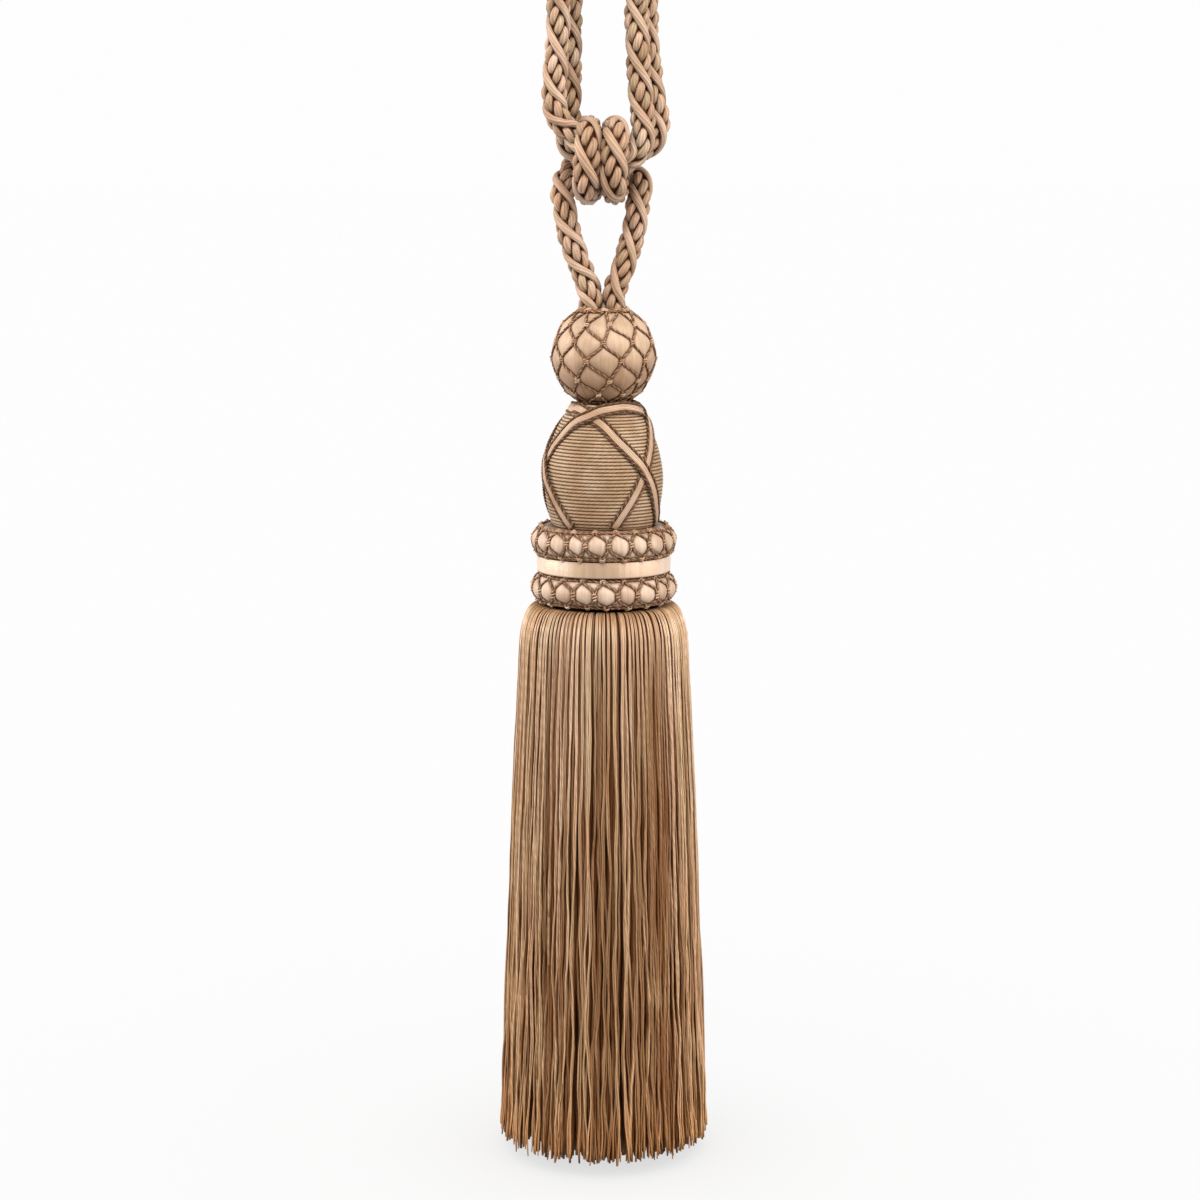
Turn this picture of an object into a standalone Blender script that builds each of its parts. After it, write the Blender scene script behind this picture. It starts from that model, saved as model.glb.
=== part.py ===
"""Curtain tieback tassel: a doubled embrace rope, a tassel rope knotted round it,
a netted satin ball, a wound body under six woven straps, two netted rings with a
satin band between them, and a skirt of cut yarn.

The file works in millimetres and writes the meshes in metres, +Z up, with the
front of the tassel towards -Y. The origin is the height at which a wall hook
bears inside the rope's two eyes. Everything hangs below it.
"""

import math
import random

import bmesh
import bpy
from mathutils import Matrix, Vector

MM = 0.001

# Ropes: two thick plies with a thin gimp in each groove, laid to the left.
ROPE_RADIUS = 4.45
ROPE_VALLEY = 3.05
ROPE_SHOULDER = 4.05
GIMP_RADIUS = 4.3
ROPE_LAY = 33.0
ROPE_STEP = 4.2
ROPE_SECTION = (
    # degrees round the rope, radius: one ply, its groove, the gimp, the other groove
    (-34, ROPE_SHOULDER),
    (0, ROPE_RADIUS),
    (34, ROPE_SHOULDER),
    (64, ROPE_VALLEY),
    (90, GIMP_RADIUS),
    (116, ROPE_VALLEY),
)

# The embrace rope: one length. It starts and ends inside the knot, and each arm
# is a bight whose eye goes over the hook. Columns: across, depth, height.
EYE_RADIUS = 10.5
LEFT_EYE_X = -13.3
RIGHT_EYE_X = 13.1
RIGHT_REAR_ROPE = (
    (0.9, 4.9, -78.4),
    (6.1, 4.9, -78.1),
    (12.0, 5.0, -76.4),
    (16.4, 5.0, -72.9),
    (18.4, 4.9, -67.6),
    (18.0, 4.7, -61.5),
    (16.5, 4.4, -52.5),
    (15.1, 4.3, -43.0),
    (14.5, 4.3, -34.5),
    (14.4, 4.4, -26.9),
    (13.8, 6.4, -19.9),
)
RIGHT_FRONT_ROPE = (
    (11.9, -6.4, -19.9),
    (11.2, -4.4, -26.9),
    (11.2, -4.3, -34.5),
    (11.6, -4.3, -43.0),
    (11.9, -4.4, -51.6),
    (12.6, -4.7, -59.2),
    (13.9, -5.1, -65.9),
    (14.6, -5.2, -70.8),
    (13.2, -5.1, -75.2),
    (9.8, -5.0, -77.7),
    (6.1, -4.9, -78.2),
)
LEFT_FRONT_ROPE = (
    (-0.5, -4.9, -78.4),
    (-6.6, -4.9, -78.1),
    (-10.3, -5.0, -76.8),
    (-13.3, -5.0, -73.6),
    (-15.0, -4.9, -69.4),
    (-15.8, -4.6, -64.6),
    (-16.5, -4.4, -58.0),
    (-16.4, -4.3, -50.6),
    (-15.7, -4.3, -42.1),
    (-15.4, -4.3, -34.5),
    (-15.3, -4.4, -26.9),
    (-14.6, -6.4, -19.9),
)
LEFT_REAR_ROPE = (
    (-12.0, 6.4, -19.9),
    (-11.4, 4.4, -26.9),
    (-11.6, 4.3, -34.5),
    (-11.7, 4.3, -43.0),
    (-11.7, 4.4, -51.6),
    (-12.1, 4.6, -58.0),
    (-13.8, 4.8, -63.8),
    (-15.2, 5.0, -69.0),
    (-14.4, 5.0, -73.8),
    (-10.7, 5.0, -77.3),
    (-6.6, 4.9, -78.2),
    (-0.9, 4.9, -78.4),
)

# The tassel rope: up the left leg, twice round the embrace rope, down the right.
KNOT_HEIGHT = -79.5
KNOT_HALF_HEIGHT = 10.8
KNOT_HALF_DEPTH = 14.6
KNOT_SQUARENESS = 3.0
KNOT_FIRST_TURN_X = -5.6
KNOT_PITCH = 9.4
KNOT_BACK_SLANT = 14.6
KNOT_BACK_SHIFT = 0.35
KNOT_START_TURN = -0.46
KNOT_END_TURN = 1.25
KNOT_STEPS_A_TURN = 12
LEFT_LEG = (
    (-4.8, 0.0, -128.3),
    (-5.2, 0.0, -123.3),
    (-7.1, 0.2, -117.5),
    (-9.5, 0.6, -111.4),
    (-11.8, 1.6, -104.4),
    (-13.5, 3.4, -97.2),
    (-14.2, 6.5, -91.5),
    (-13.4, 10.5, -86.8),
    (-11.0, 13.6, -83.1),
)
RIGHT_LEG = (
    (5.1, 5.3, -89.5),
    (6.1, 9.6, -87.6),
    (7.0, 12.0, -86.2),
    (8.8, 13.7, -85.2),
    (10.9, 14.3, -84.8),
    (13.0, 13.5, -85.2),
    (14.6, 11.7, -86.3),
    (15.2, 9.2, -88.5),
    (14.9, 6.4, -92.3),
    (13.7, 4.4, -97.2),
    (12.0, 2.8, -101.8),
    (10.2, 1.4, -106.6),
    (8.3, 0.6, -112.2),
    (6.4, 0.2, -118.0),
    (5.0, 0.0, -123.6),
    (4.8, 0.0, -128.3),
)

# Satin ball and its knotted net.
BALL_HEIGHT = -146.0
BALL_RADIUS = 17.3
BALL_SIDES = 24
BALL_BANDS = 12
BALL_NET_COLUMNS = 10
BALL_NET_ANGLES = (62, 38, 17, -3, -24, -45, -64)
BALL_NET_TURN = -1.0

NET_HALF_WIDTH = 0.85
NET_UNDERSIDE = 0.5
NET_TOP = 1.35

# Body wound with cord. Columns: radius, height, from the neck down.
BODY_PROFILE = (
    (0.0, -165.3),
    (9.0, -164.7),
    (12.5, -162.5),
    (13.4, -163.3),
    (14.8, -166.7),
    (16.8, -171.3),
    (18.7, -176.8),
    (20.1, -182.3),
    (20.8, -188.4),
    (20.4, -194.3),
    (19.5, -199.5),
    (18.6, -202.9),
    (15.0, -203.7),
    (11.0, -205.5),
    (0.0, -205.5),
)
BODY_SIDES = 30

# Three pairs of straps, woven over and under each other at two heights.
STRAP_PAIRS = 3
STRAP_WIDTH = 4.4
STRAP_CORD_WIDTH = 1.0
STRAP_THICKNESS = 0.75
STRAP_GIMP_THICKNESS = 0.5
STRAP_LIFT = 0.5
STRAP_OVER_LIFT = 1.75
STRAP_OVER_FLAT = 4.2
STRAP_OVER_END = 9.5
STRAP_STEP = 3.2
RIGHT_STRAP_PATH = (
    # degrees from the front, height, down the strap that leans right
    (-46, -164.0),
    (-34, -164.7),
    (-18, -166.5),
    (-3, -169.3),
    (14, -175.1),
    (30, -180.7),
    (46, -185.7),
    (58, -193.0),
    (69, -200.8),
)
RIGHT_STRAP_OVER = 46
LEFT_STRAP_PATH = (
    # degrees from the front, height, down the strap that leans left
    (30, -164.2),
    (8, -164.2),
    (-5, -164.9),
    (-18, -166.5),
    (-38, -170.0),
    (-53, -173.4),
    (-65, -178.8),
    (-74, -185.2),
    (-84, -191.4),
    (-94, -197.4),
    (-100, -200.8),
)
LEFT_STRAP_OVER = -18

# Netted rings with the band between them. Each ring: centre radius, height, radius.
UPPER_RING = (19.1, -210.4, 5.5)
LOWER_RING = (19.8, -226.6, 5.0)
RING_SIDES = 32
RING_BANDS = 8
RING_NET_COLUMNS = 20
UPPER_NET_ANGLES = (84, 20, -44)
LOWER_NET_ANGLES = (47, -14, -75)
BAND_HEIGHT = -218.6
BAND_OUTER_RADIUS = 23.4
BAND_INNER_RADIUS = 19.0
BAND_OUTER_HALF_HEIGHT = 2.1
BAND_INNER_HALF_HEIGHT = 0.7
BAND_SIDES = 24

# Skirt: locks of cut yarn on one backing ring.
SKIRT_COLUMNS = 72
BACKING_TOP = -233.5
BACKING_BOTTOM = -235.6
BACKING_RADII = (22.5, 21.9, 18.0, 13.6, 8.5)
SKIRT_END = -425.6
SKIRT_END_SPREAD = 1.4
SKIRT_LEAN = 0.12
SKIRT_SEED = 7
OUTER_LOCK = (
    # radius, height, degrees below level, gap to the next lock, thickness
    (25.4, -234.9, 22, 0.34, 1.7),
    (28.6, -240.3, 75, 0.36, 1.8),
    (36.2, SKIRT_END, 88, 0.5, 2.0),
)
INNER_LOCKS = (
    # each row: radius and thickness just under the root, then at the cut end
    ((20.2, 3.0), (31.7, 4.2)),
    ((16.0, 3.4), (26.2, 4.8)),
    ((11.2, 4.0), (20.0, 5.2)),
)
INNER_LOCK_START = -239.5
INNER_LOCK_GAP = 0.5


def make_material(name, colour, roughness):
    """One yarn or satin finish."""
    material = bpy.data.materials.new(name)
    material.use_nodes = True
    shader = material.node_tree.nodes["Principled BSDF"]
    shader.inputs["Base Color"].default_value = (*colour, 1.0)
    shader.inputs["Roughness"].default_value = roughness
    shader.inputs["Metallic"].default_value = 0.0
    return material


def add_piece(name, shape, material):
    """Turn a millimetre bmesh into a named object in metres."""
    bmesh.ops.recalc_face_normals(shape, faces=shape.faces)
    bmesh.ops.scale(shape, vec=(MM, MM, MM), verts=shape.verts)
    mesh = bpy.data.meshes.new(name)
    shape.to_mesh(mesh)
    shape.free()
    mesh.shade_smooth()
    mesh.set_sharp_from_angle(angle=math.radians(40))
    mesh.materials.append(material)
    piece = bpy.data.objects.new(name, mesh)
    bpy.context.scene.collection.objects.link(piece)
    return piece


def on_circle(radius, degrees, height):
    """A point at this radius round the axis. 0 degrees is the front."""
    angle = math.radians(degrees)
    return Vector((radius * math.sin(angle), -radius * math.cos(angle), height))


def smooth_route(points, step):
    """Even points along one smooth curve through the given ones."""
    knots = [Vector(p) for p in points]
    knots = [2 * knots[0] - knots[1], *knots, 2 * knots[-1] - knots[-2]]
    fine = []
    for before, start, end, after in zip(knots, knots[1:], knots[2:], knots[3:]):
        for i in range(24):
            fine.append(centripetal(before, start, end, after, i / 24))
    fine.append(knots[-2])
    lengths = [0.0]
    for a, b in zip(fine, fine[1:]):
        lengths.append(lengths[-1] + (b - a).length)
    count = round(lengths[-1] / step)
    even = []
    at = 0
    for i in range(count + 1):
        want = lengths[-1] * i / count
        while at < len(fine) - 2 and lengths[at + 1] < want:
            at += 1
        span = lengths[at + 1] - lengths[at]
        even.append(fine[at].lerp(fine[at + 1], (want - lengths[at]) / span))
    return even


def centripetal(before, start, end, after, t):
    """A centripetal Catmull-Rom curve from start to end, at t from 0 to 1."""
    t1 = (start - before).length ** 0.5
    t2 = t1 + (end - start).length ** 0.5
    t3 = t2 + (after - end).length ** 0.5
    at = t1 + (t2 - t1) * t
    a1 = before.lerp(start, at / t1)
    a2 = start.lerp(end, (at - t1) / (t2 - t1))
    a3 = end.lerp(after, (at - t2) / (t3 - t2))
    b1 = a1.lerp(a2, at / t2)
    b2 = a2.lerp(a3, (at - t1) / (t3 - t1))
    return b1.lerp(b2, (at - t1) / (t2 - t1))


def frames_along(path):
    """Two directions across the path at each point, carried along without twist."""
    tangents = []
    for i in range(len(path)):
        ahead = path[min(i + 1, len(path) - 1)]
        behind = path[max(i - 1, 0)]
        tangents.append((ahead - behind).normalized())
    side = tangents[0].orthogonal().normalized()
    frames = []
    for i, tangent in enumerate(tangents):
        if i:
            side = tangents[i - 1].rotation_difference(tangent) @ side
        side = (side - tangent * side.dot(tangent)).normalized()
        frames.append((side, tangent.cross(side)))
    return frames


def loft(rings):
    """A closed body through rings of equal size, with its two ends filled."""
    shape = bmesh.new()
    rows = [[shape.verts.new(p) for p in ring] for ring in rings]
    size = len(rows[0])
    for row, following in zip(rows, rows[1:]):
        for i in range(size):
            k = (i + 1) % size
            shape.faces.new((row[i], row[k], following[k], following[i]))
    shape.faces.new(rows[0])
    shape.faces.new(rows[-1])
    return shape


def rope(route):
    """A laid rope along the route: its plies and gimps turn as it goes."""
    path = smooth_route(route, ROPE_STEP)
    length = sum((b - a).length for a, b in zip(path, path[1:]))
    turn = -360.0 * length / ROPE_LAY / (len(path) - 1)
    rings = []
    for i, (point, (side, up)) in enumerate(zip(path, frames_along(path))):
        ring = []
        for half in (0, 180):
            for degrees, radius in ROPE_SECTION:
                angle = math.radians(degrees + half + turn * i)
                ring.append(point + radius * (math.cos(angle) * side + math.sin(angle) * up))
        rings.append(ring)
    return loft(rings)


def eye_route(x, towards_front):
    """Points over one eye, from its rear side to its front or back again."""
    centre = ROPE_RADIUS - EYE_RADIUS
    points = []
    for degrees in (-12, 18, 54, 90, 126, 162, 192):
        angle = math.radians(degrees)
        depth = EYE_RADIUS * math.cos(angle)
        points.append((x, depth, centre + EYE_RADIUS * math.sin(angle)))
    return points if towards_front else points[::-1]


def embrace_route():
    """From inside the knot, round both arms and back into the knot."""
    return (
        *RIGHT_REAR_ROPE,
        *eye_route(RIGHT_EYE_X, True),
        *RIGHT_FRONT_ROPE,
        *LEFT_FRONT_ROPE,
        *eye_route(LEFT_EYE_X, False),
        *LEFT_REAR_ROPE,
    )


def knot_point(turns):
    """The tassel rope's middle after this many turns. A whole turn is at the front."""
    angle = 2 * math.pi * turns
    drift = KNOT_PITCH * turns - KNOT_BACK_SLANT * math.sin(angle) / (2 * math.pi)
    x = KNOT_FIRST_TURN_X + drift + KNOT_BACK_SHIFT * (1 - math.cos(angle))
    power = 2 / KNOT_SQUARENESS
    forward = math.copysign(abs(math.cos(angle)) ** power, math.cos(angle))
    down = math.copysign(abs(math.sin(angle)) ** power, math.sin(angle))
    return (x, -KNOT_HALF_DEPTH * forward, KNOT_HEIGHT - KNOT_HALF_HEIGHT * down)


def tassel_route():
    """Up the left leg, round the knot and down the right leg."""
    count = round((KNOT_END_TURN - KNOT_START_TURN) * KNOT_STEPS_A_TURN)
    spread = (KNOT_END_TURN - KNOT_START_TURN) / count
    knot = [knot_point(KNOT_START_TURN + spread * i) for i in range(count + 1)]
    return (*LEFT_LEG, *knot, *RIGHT_LEG)


def turned(profile, sides):
    """A body turned from a profile that starts and ends on the axis."""
    shape = bmesh.new()
    top = shape.verts.new((0.0, 0.0, profile[0][1]))
    bottom = shape.verts.new((0.0, 0.0, profile[-1][1]))
    rows = []
    for radius, height in profile[1:-1]:
        ring = [on_circle(radius, 360 * i / sides, height) for i in range(sides)]
        rows.append([shape.verts.new(place) for place in ring])
    for i in range(sides):
        k = (i + 1) % sides
        shape.faces.new((top, rows[0][i], rows[0][k]))
        shape.faces.new((bottom, rows[-1][k], rows[-1][i]))
        for row, following in zip(rows, rows[1:]):
            shape.faces.new((row[i], following[i], following[k], row[k]))
    return shape


def turned_ring(section, sides):
    """A ring turned from a closed section of (radius, height) points."""
    shape = bmesh.new()
    rows = []
    for i in range(sides):
        rows.append([shape.verts.new(on_circle(r, 360 * i / sides, z)) for r, z in section])
    for i in range(sides):
        row, following = rows[i], rows[(i + 1) % sides]
        for j in range(len(section)):
            k = (j + 1) % len(section)
            shape.faces.new((row[j], row[k], following[k], following[j]))
    return shape


def ball():
    """The satin-covered ball."""
    profile = []
    for i in range(BALL_BANDS + 1):
        angle = math.pi * i / BALL_BANDS
        profile.append((BALL_RADIUS * math.sin(angle), BALL_HEIGHT + BALL_RADIUS * math.cos(angle)))
    return turned(profile, BALL_SIDES)


def satin_ring(centre_radius, height, radius):
    """A padded satin ring."""
    section = []
    for i in range(RING_BANDS):
        angle = 2 * math.pi * (i + 0.5) / RING_BANDS
        section.append((centre_radius + radius * math.cos(angle), height + radius * math.sin(angle)))
    return turned_ring(section, RING_SIDES)


def net(centre_radius, height, radius, angles, columns, turn=0.0):
    """A knotted net on a ring or ball. Each strand is a ridge over a flat underside,
    each mesh is a real gap, and a cord closes the first and the last row.

    A place on the net is (column, row). A whole row has a knot at every second
    column, so that the meshes between the rows are diamonds.
    """
    shape = bmesh.new()
    last = len(angles) - 1
    wrap = 2 * columns
    found = {}

    def vertex(key, column, row, lift):
        if key not in found:
            low = min(max(math.floor(row), 0), last - 1)
            degrees = angles[low] + (angles[low + 1] - angles[low]) * (row - low)
            out = radius + lift
            around = math.radians(degrees)
            place = on_circle(
                centre_radius + out * math.cos(around),
                turn + 180 * column / columns,
                height + out * math.sin(around),
            )
            found[key] = shape.verts.new(place)
        return found[key]

    def ridge(column, row):
        return vertex(("ridge", column % wrap, row), column, row, NET_TOP)

    def reach(column, row):
        """Real half sizes of a mesh here: along the row and down the net."""
        low = min(max(math.floor(row), 0), last - 1)
        degrees = angles[low] + (angles[low + 1] - angles[low]) * (row - low)
        along = (centre_radius + radius * math.cos(math.radians(degrees))) * math.pi / columns
        down = radius * math.radians(abs(angles[low + 1] - angles[low]))
        return along, down

    meshes = []
    for row in range(1, last):
        for column in range((row + 1) % 2, wrap, 2):
            corners = ((column, row - 1), (column + 1, row), (column, row + 1), (column - 1, row))
            meshes.append((corners, (column, row)))
    for column in range(1, wrap, 2):
        meshes.append((((column - 1, 0), (column + 1, 0), (column, 1)), (column, 1 / 3)))
    for column in range((last + 1) % 2, wrap, 2):
        corners = ((column - 1, last), (column, last - 1), (column + 1, last))
        meshes.append((corners, (column, last - 1 / 3)))

    strands = {}
    knots = {}

    def add_side(name, start, end, inner_start, inner_middle, inner_end):
        """One sloping side of a strand, from its ridge to a gap."""
        middle = ((start[0] + end[0]) / 2, (start[1] + end[1]) / 2)
        a, m, b = ridge(*start), ridge(*middle), ridge(*end)
        shape.faces.new((a, inner_start, inner_middle, m))
        shape.faces.new((m, inner_middle, inner_end, b))
        side = {start[0] % wrap: inner_start, end[0] % wrap: inner_end}
        key = frozenset(((start[0] % wrap, start[1]), (end[0] % wrap, end[1])))
        strands.setdefault(key, []).append((name, inner_middle, side))

    for number, (corners, centre) in enumerate(meshes):
        along, down = reach(*centre)
        inset = NET_HALF_WIDTH * math.hypot(along, down) / (along * down)
        if len(corners) == 3:
            inset *= 1.45
        scale = 1 - inset

        def gap(place):
            column = centre[0] + (place[0] - centre[0]) * scale
            row = centre[1] + (place[1] - centre[1]) * scale
            return vertex((number, place), column, row, NET_UNDERSIDE)

        for start, end in zip(corners, corners[1:] + corners[:1]):
            middle = ((start[0] + end[0]) / 2, (start[1] + end[1]) / 2)
            add_side(number, start, end, gap(start), gap(middle), gap(end))
            knot = (start[0] % wrap, start[1])
            knots.setdefault(knot, []).append(gap(start))

    for row, beyond in ((0, -1), (last, 1)):
        step = abs(angles[1] - angles[0]) if row == 0 else abs(angles[-1] - angles[-2])
        margin = beyond * math.degrees(NET_HALF_WIDTH / radius) / step
        for column in range(row % 2, wrap, 2):
            places = (column, column + 1, column + 2)
            edge = [vertex(("edge", c % wrap, row), c, row + margin, NET_UNDERSIDE) for c in places]
            add_side("edge", (column, row), (column + 2, row), *edge)
            knots[(column % wrap, row)].append(edge[0])

    for key, sides in strands.items():
        (_, first_middle, first), (_, second_middle, second) = sides
        start, end = (place[0] for place in key)
        shape.faces.new((first[start], first_middle, second_middle, second[start]))
        shape.faces.new((first_middle, first[end], second[end], second_middle))

    for (column, row), around in knots.items():
        centre = ridge(column, row).co
        normal = sum((v.co for v in around), Vector()) / len(around) - centre
        side = normal.orthogonal().normalized()
        up = normal.normalized().cross(side)
        around.sort(key=lambda v: math.atan2((v.co - centre).dot(up), (v.co - centre).dot(side)))
        shape.faces.new(around)
    return shape


def body_radius(height):
    """The wound body's radius at this height, on its outer profile."""
    outer = [p for p in BODY_PROFILE if p[0] > 13.0]
    for (r0, z0), (r1, z1) in zip(outer, outer[1:]):
        if z1 <= height <= z0:
            return r0 + (r1 - r0) * (height - z0) / (z1 - z0)
    return outer[0][0]


def body_slope(height):
    """How fast the body's radius grows with height."""
    return (body_radius(height + 1.0) - body_radius(height - 1.0)) / 2.0


def strap(path, lifted_at, turn):
    """One flat strap with a cord along each edge, lifted over the strap it crosses."""
    course = {degrees: on_circle(body_radius(height), degrees, height) for degrees, height in path}
    route = smooth_route(course.values(), STRAP_STEP)
    crossing_point = course[lifted_at]
    half = STRAP_WIDTH / 2
    cord = STRAP_CORD_WIDTH
    section = (
        (-half, 0.0),
        (-half + cord / 2, STRAP_THICKNESS),
        (-half + cord, STRAP_GIMP_THICKNESS),
        (half - cord, STRAP_GIMP_THICKNESS),
        (half - cord / 2, STRAP_THICKNESS),
        (half, 0.0),
    )
    rings = []
    for i, point in enumerate(route):
        ahead = route[min(i + 1, len(route) - 1)]
        behind = route[max(i - 1, 0)]
        along = (ahead - behind).normalized()
        outward = Vector((point.x, point.y, 0.0)).normalized()
        outward.z = -body_slope(point.z)
        outward.normalize()
        across = along.cross(outward).normalized()
        outward = across.cross(along)
        past_flat = (point - crossing_point).length - STRAP_OVER_FLAT
        reach = min(max(past_flat / (STRAP_OVER_END - STRAP_OVER_FLAT), 0.0), 1.0)
        lift = STRAP_LIFT + (STRAP_OVER_LIFT - STRAP_LIFT) * (1 - reach * reach * (3 - 2 * reach))
        rings.append([point + across * w + outward * (lift + h) for w, h in section])
    placing = Matrix.Rotation(math.radians(turn), 3, "Z")
    return loft([[placing @ p for p in ring] for ring in rings])


def satin_band():
    """The plain band in the groove between the rings."""
    section = (
        (BAND_OUTER_RADIUS, BAND_HEIGHT + BAND_OUTER_HALF_HEIGHT),
        (BAND_INNER_RADIUS, BAND_HEIGHT + BAND_INNER_HALF_HEIGHT),
        (BAND_INNER_RADIUS, BAND_HEIGHT - BAND_INNER_HALF_HEIGHT),
        (BAND_OUTER_RADIUS, BAND_HEIGHT - BAND_OUTER_HALF_HEIGHT),
    )
    return turned_ring(section, BAND_SIDES)


def grow_lock(shape, root, azimuth, stations):
    """Grow one four-sided lock from its root, which stays open at the backing."""
    corners = root
    for radius, height, tilt, width, thickness in stations:
        centre = on_circle(radius, azimuth, height)
        across = on_circle(1.0, azimuth + 90, 0.0)
        outward = on_circle(math.sin(math.radians(tilt)), azimuth, math.cos(math.radians(tilt)))
        following = []
        for corner in (-1, -1), (1, -1), (1, 1), (-1, 1):
            offset = across * (corner[0] * width / 2) + outward * (corner[1] * thickness / 2)
            following.append(shape.verts.new(centre + offset))
        for i in range(4):
            k = (i + 1) % 4
            shape.faces.new((corners[i], corners[k], following[k], following[i]))
        corners = following
    shape.faces.new(corners)


def skirt():
    """Locks of yarn that part just below one backing ring."""
    shape = bmesh.new()
    cut = random.Random(SKIRT_SEED)
    half = SKIRT_COLUMNS // 2
    pitch = 360 / SKIRT_COLUMNS

    def circle(radius, height, count):
        return [shape.verts.new(on_circle(radius, 360 * i / count, height)) for i in range(count)]

    def step_down(many, few):
        """Join a circle to one of half as many points."""
        for i in range(half):
            k = (i + 1) % half
            a, b, c = many[2 * i], many[2 * i + 1], many[(2 * i + 2) % SKIRT_COLUMNS]
            shape.faces.new((a, b, few[i]))
            shape.faces.new((b, few[k], few[i]))
            shape.faces.new((b, c, few[k]))

    outer_top = circle(BACKING_RADII[0], BACKING_TOP, SKIRT_COLUMNS)
    outer_bottom = circle(BACKING_RADII[0], BACKING_BOTTOM, SKIRT_COLUMNS)
    inner_top = circle(BACKING_RADII[-1], BACKING_TOP, half)
    roots = [circle(radius, BACKING_BOTTOM, half) for radius in BACKING_RADII[1:]]
    step_down(outer_top, inner_top)
    step_down(outer_bottom, roots[0])
    for i in range(half):
        k = (i + 1) % half
        shape.faces.new((inner_top[i], inner_top[k], roots[-1][k], roots[-1][i]))

    for i in range(SKIRT_COLUMNS):
        k = (i + 1) % SKIRT_COLUMNS
        azimuth = pitch * (i + 0.5)
        stations = []
        for number, (radius, height, tilt, gap, thickness) in enumerate(OUTER_LOCK):
            width = math.radians(pitch) * radius - gap
            if number == len(OUTER_LOCK) - 1:
                height += cut.uniform(-SKIRT_END_SPREAD, SKIRT_END_SPREAD)
                azimuth += math.degrees(cut.uniform(-SKIRT_LEAN, SKIRT_LEAN) / radius)
            stations.append((radius, height, tilt, width, thickness))
        root = (outer_bottom[i], outer_bottom[k], outer_top[k], outer_top[i])
        grow_lock(shape, root, azimuth, stations)

    for (start, end), outer, inner in zip(INNER_LOCKS, roots, roots[1:]):
        for i in range(half):
            k = (i + 1) % half
            stations = []
            for (radius, thickness), height in ((start, INNER_LOCK_START), (end, SKIRT_END)):
                width = math.radians(2 * pitch) * (radius - thickness / 2) - INNER_LOCK_GAP
                if height == SKIRT_END:
                    height += cut.uniform(-SKIRT_END_SPREAD, SKIRT_END_SPREAD)
                stations.append((radius, height, 88, width, thickness))
            root = (inner[i], inner[k], outer[k], outer[i])
            grow_lock(shape, root, 2 * pitch * (i + 0.5), stations)
    return shape


def build():
    """All the pieces of the tassel, from the rope's eyes to the skirt."""
    for old in list(bpy.data.objects):
        bpy.data.objects.remove(old, do_unlink=True)

    cord = make_material("twisted_cord", (0.53, 0.36, 0.23), 0.55)
    satin = make_material("satin_cover", (0.60, 0.42, 0.27), 0.38)
    thread = make_material("net_thread", (0.19, 0.10, 0.055), 0.6)
    winding = make_material("wound_cord", (0.50, 0.36, 0.22), 0.5)
    gimp = make_material("strap_gimp", (0.55, 0.38, 0.26), 0.45)
    yarn = make_material("skirt_yarn", (0.50, 0.33, 0.20), 0.5)

    add_piece("embrace_rope", rope(embrace_route()), cord)
    add_piece("tassel_rope", rope(tassel_route()), cord)
    add_piece("ball", ball(), satin)
    ball_net = net(0.0, BALL_HEIGHT, BALL_RADIUS, BALL_NET_ANGLES, BALL_NET_COLUMNS, BALL_NET_TURN)
    add_piece("ball_net", ball_net, thread)
    add_piece("wound_body", turned(BODY_PROFILE, BODY_SIDES), winding)
    for i in range(STRAP_PAIRS):
        turn = 360 * i / STRAP_PAIRS
        add_piece(f"right_strap_{i + 1}", strap(RIGHT_STRAP_PATH, RIGHT_STRAP_OVER, turn), gimp)
        add_piece(f"left_strap_{i + 1}", strap(LEFT_STRAP_PATH, LEFT_STRAP_OVER, turn), gimp)
    add_piece("upper_ring", satin_ring(*UPPER_RING), satin)
    add_piece("upper_ring_net", net(*UPPER_RING, UPPER_NET_ANGLES, RING_NET_COLUMNS), thread)
    add_piece("satin_band", satin_band(), satin)
    add_piece("lower_ring", satin_ring(*LOWER_RING), satin)
    add_piece("lower_ring_net", net(*LOWER_RING, LOWER_NET_ANGLES, RING_NET_COLUMNS), thread)
    add_piece("skirt", skirt(), yarn)


build()
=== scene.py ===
"""The looks of the curtain tieback tassel: laid rope, knotted nets over satin, a wound
body under woven straps, and a skirt of cut yarn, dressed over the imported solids.

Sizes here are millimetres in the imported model's frame, and each mesh is written in
metres. The front of the tassel faces -Y, and the origin is where the hook bears.
"""

import math

import bpy
import numpy as np
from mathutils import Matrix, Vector, kdtree


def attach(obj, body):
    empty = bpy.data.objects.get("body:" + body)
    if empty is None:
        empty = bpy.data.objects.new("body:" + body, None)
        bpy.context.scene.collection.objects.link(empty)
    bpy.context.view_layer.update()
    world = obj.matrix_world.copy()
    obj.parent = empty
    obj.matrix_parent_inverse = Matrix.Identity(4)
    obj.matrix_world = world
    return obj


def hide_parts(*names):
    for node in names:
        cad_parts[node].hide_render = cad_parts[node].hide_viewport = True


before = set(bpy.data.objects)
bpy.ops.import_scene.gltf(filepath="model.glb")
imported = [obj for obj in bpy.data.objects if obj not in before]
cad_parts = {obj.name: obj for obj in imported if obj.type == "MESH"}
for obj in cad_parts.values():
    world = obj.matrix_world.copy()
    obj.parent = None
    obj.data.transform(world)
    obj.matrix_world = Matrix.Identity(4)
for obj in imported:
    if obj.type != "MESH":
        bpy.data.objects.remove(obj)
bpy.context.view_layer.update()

MM = 0.001
PHOTO_SIZE = 1200
TURN = 2 * math.pi

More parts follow.
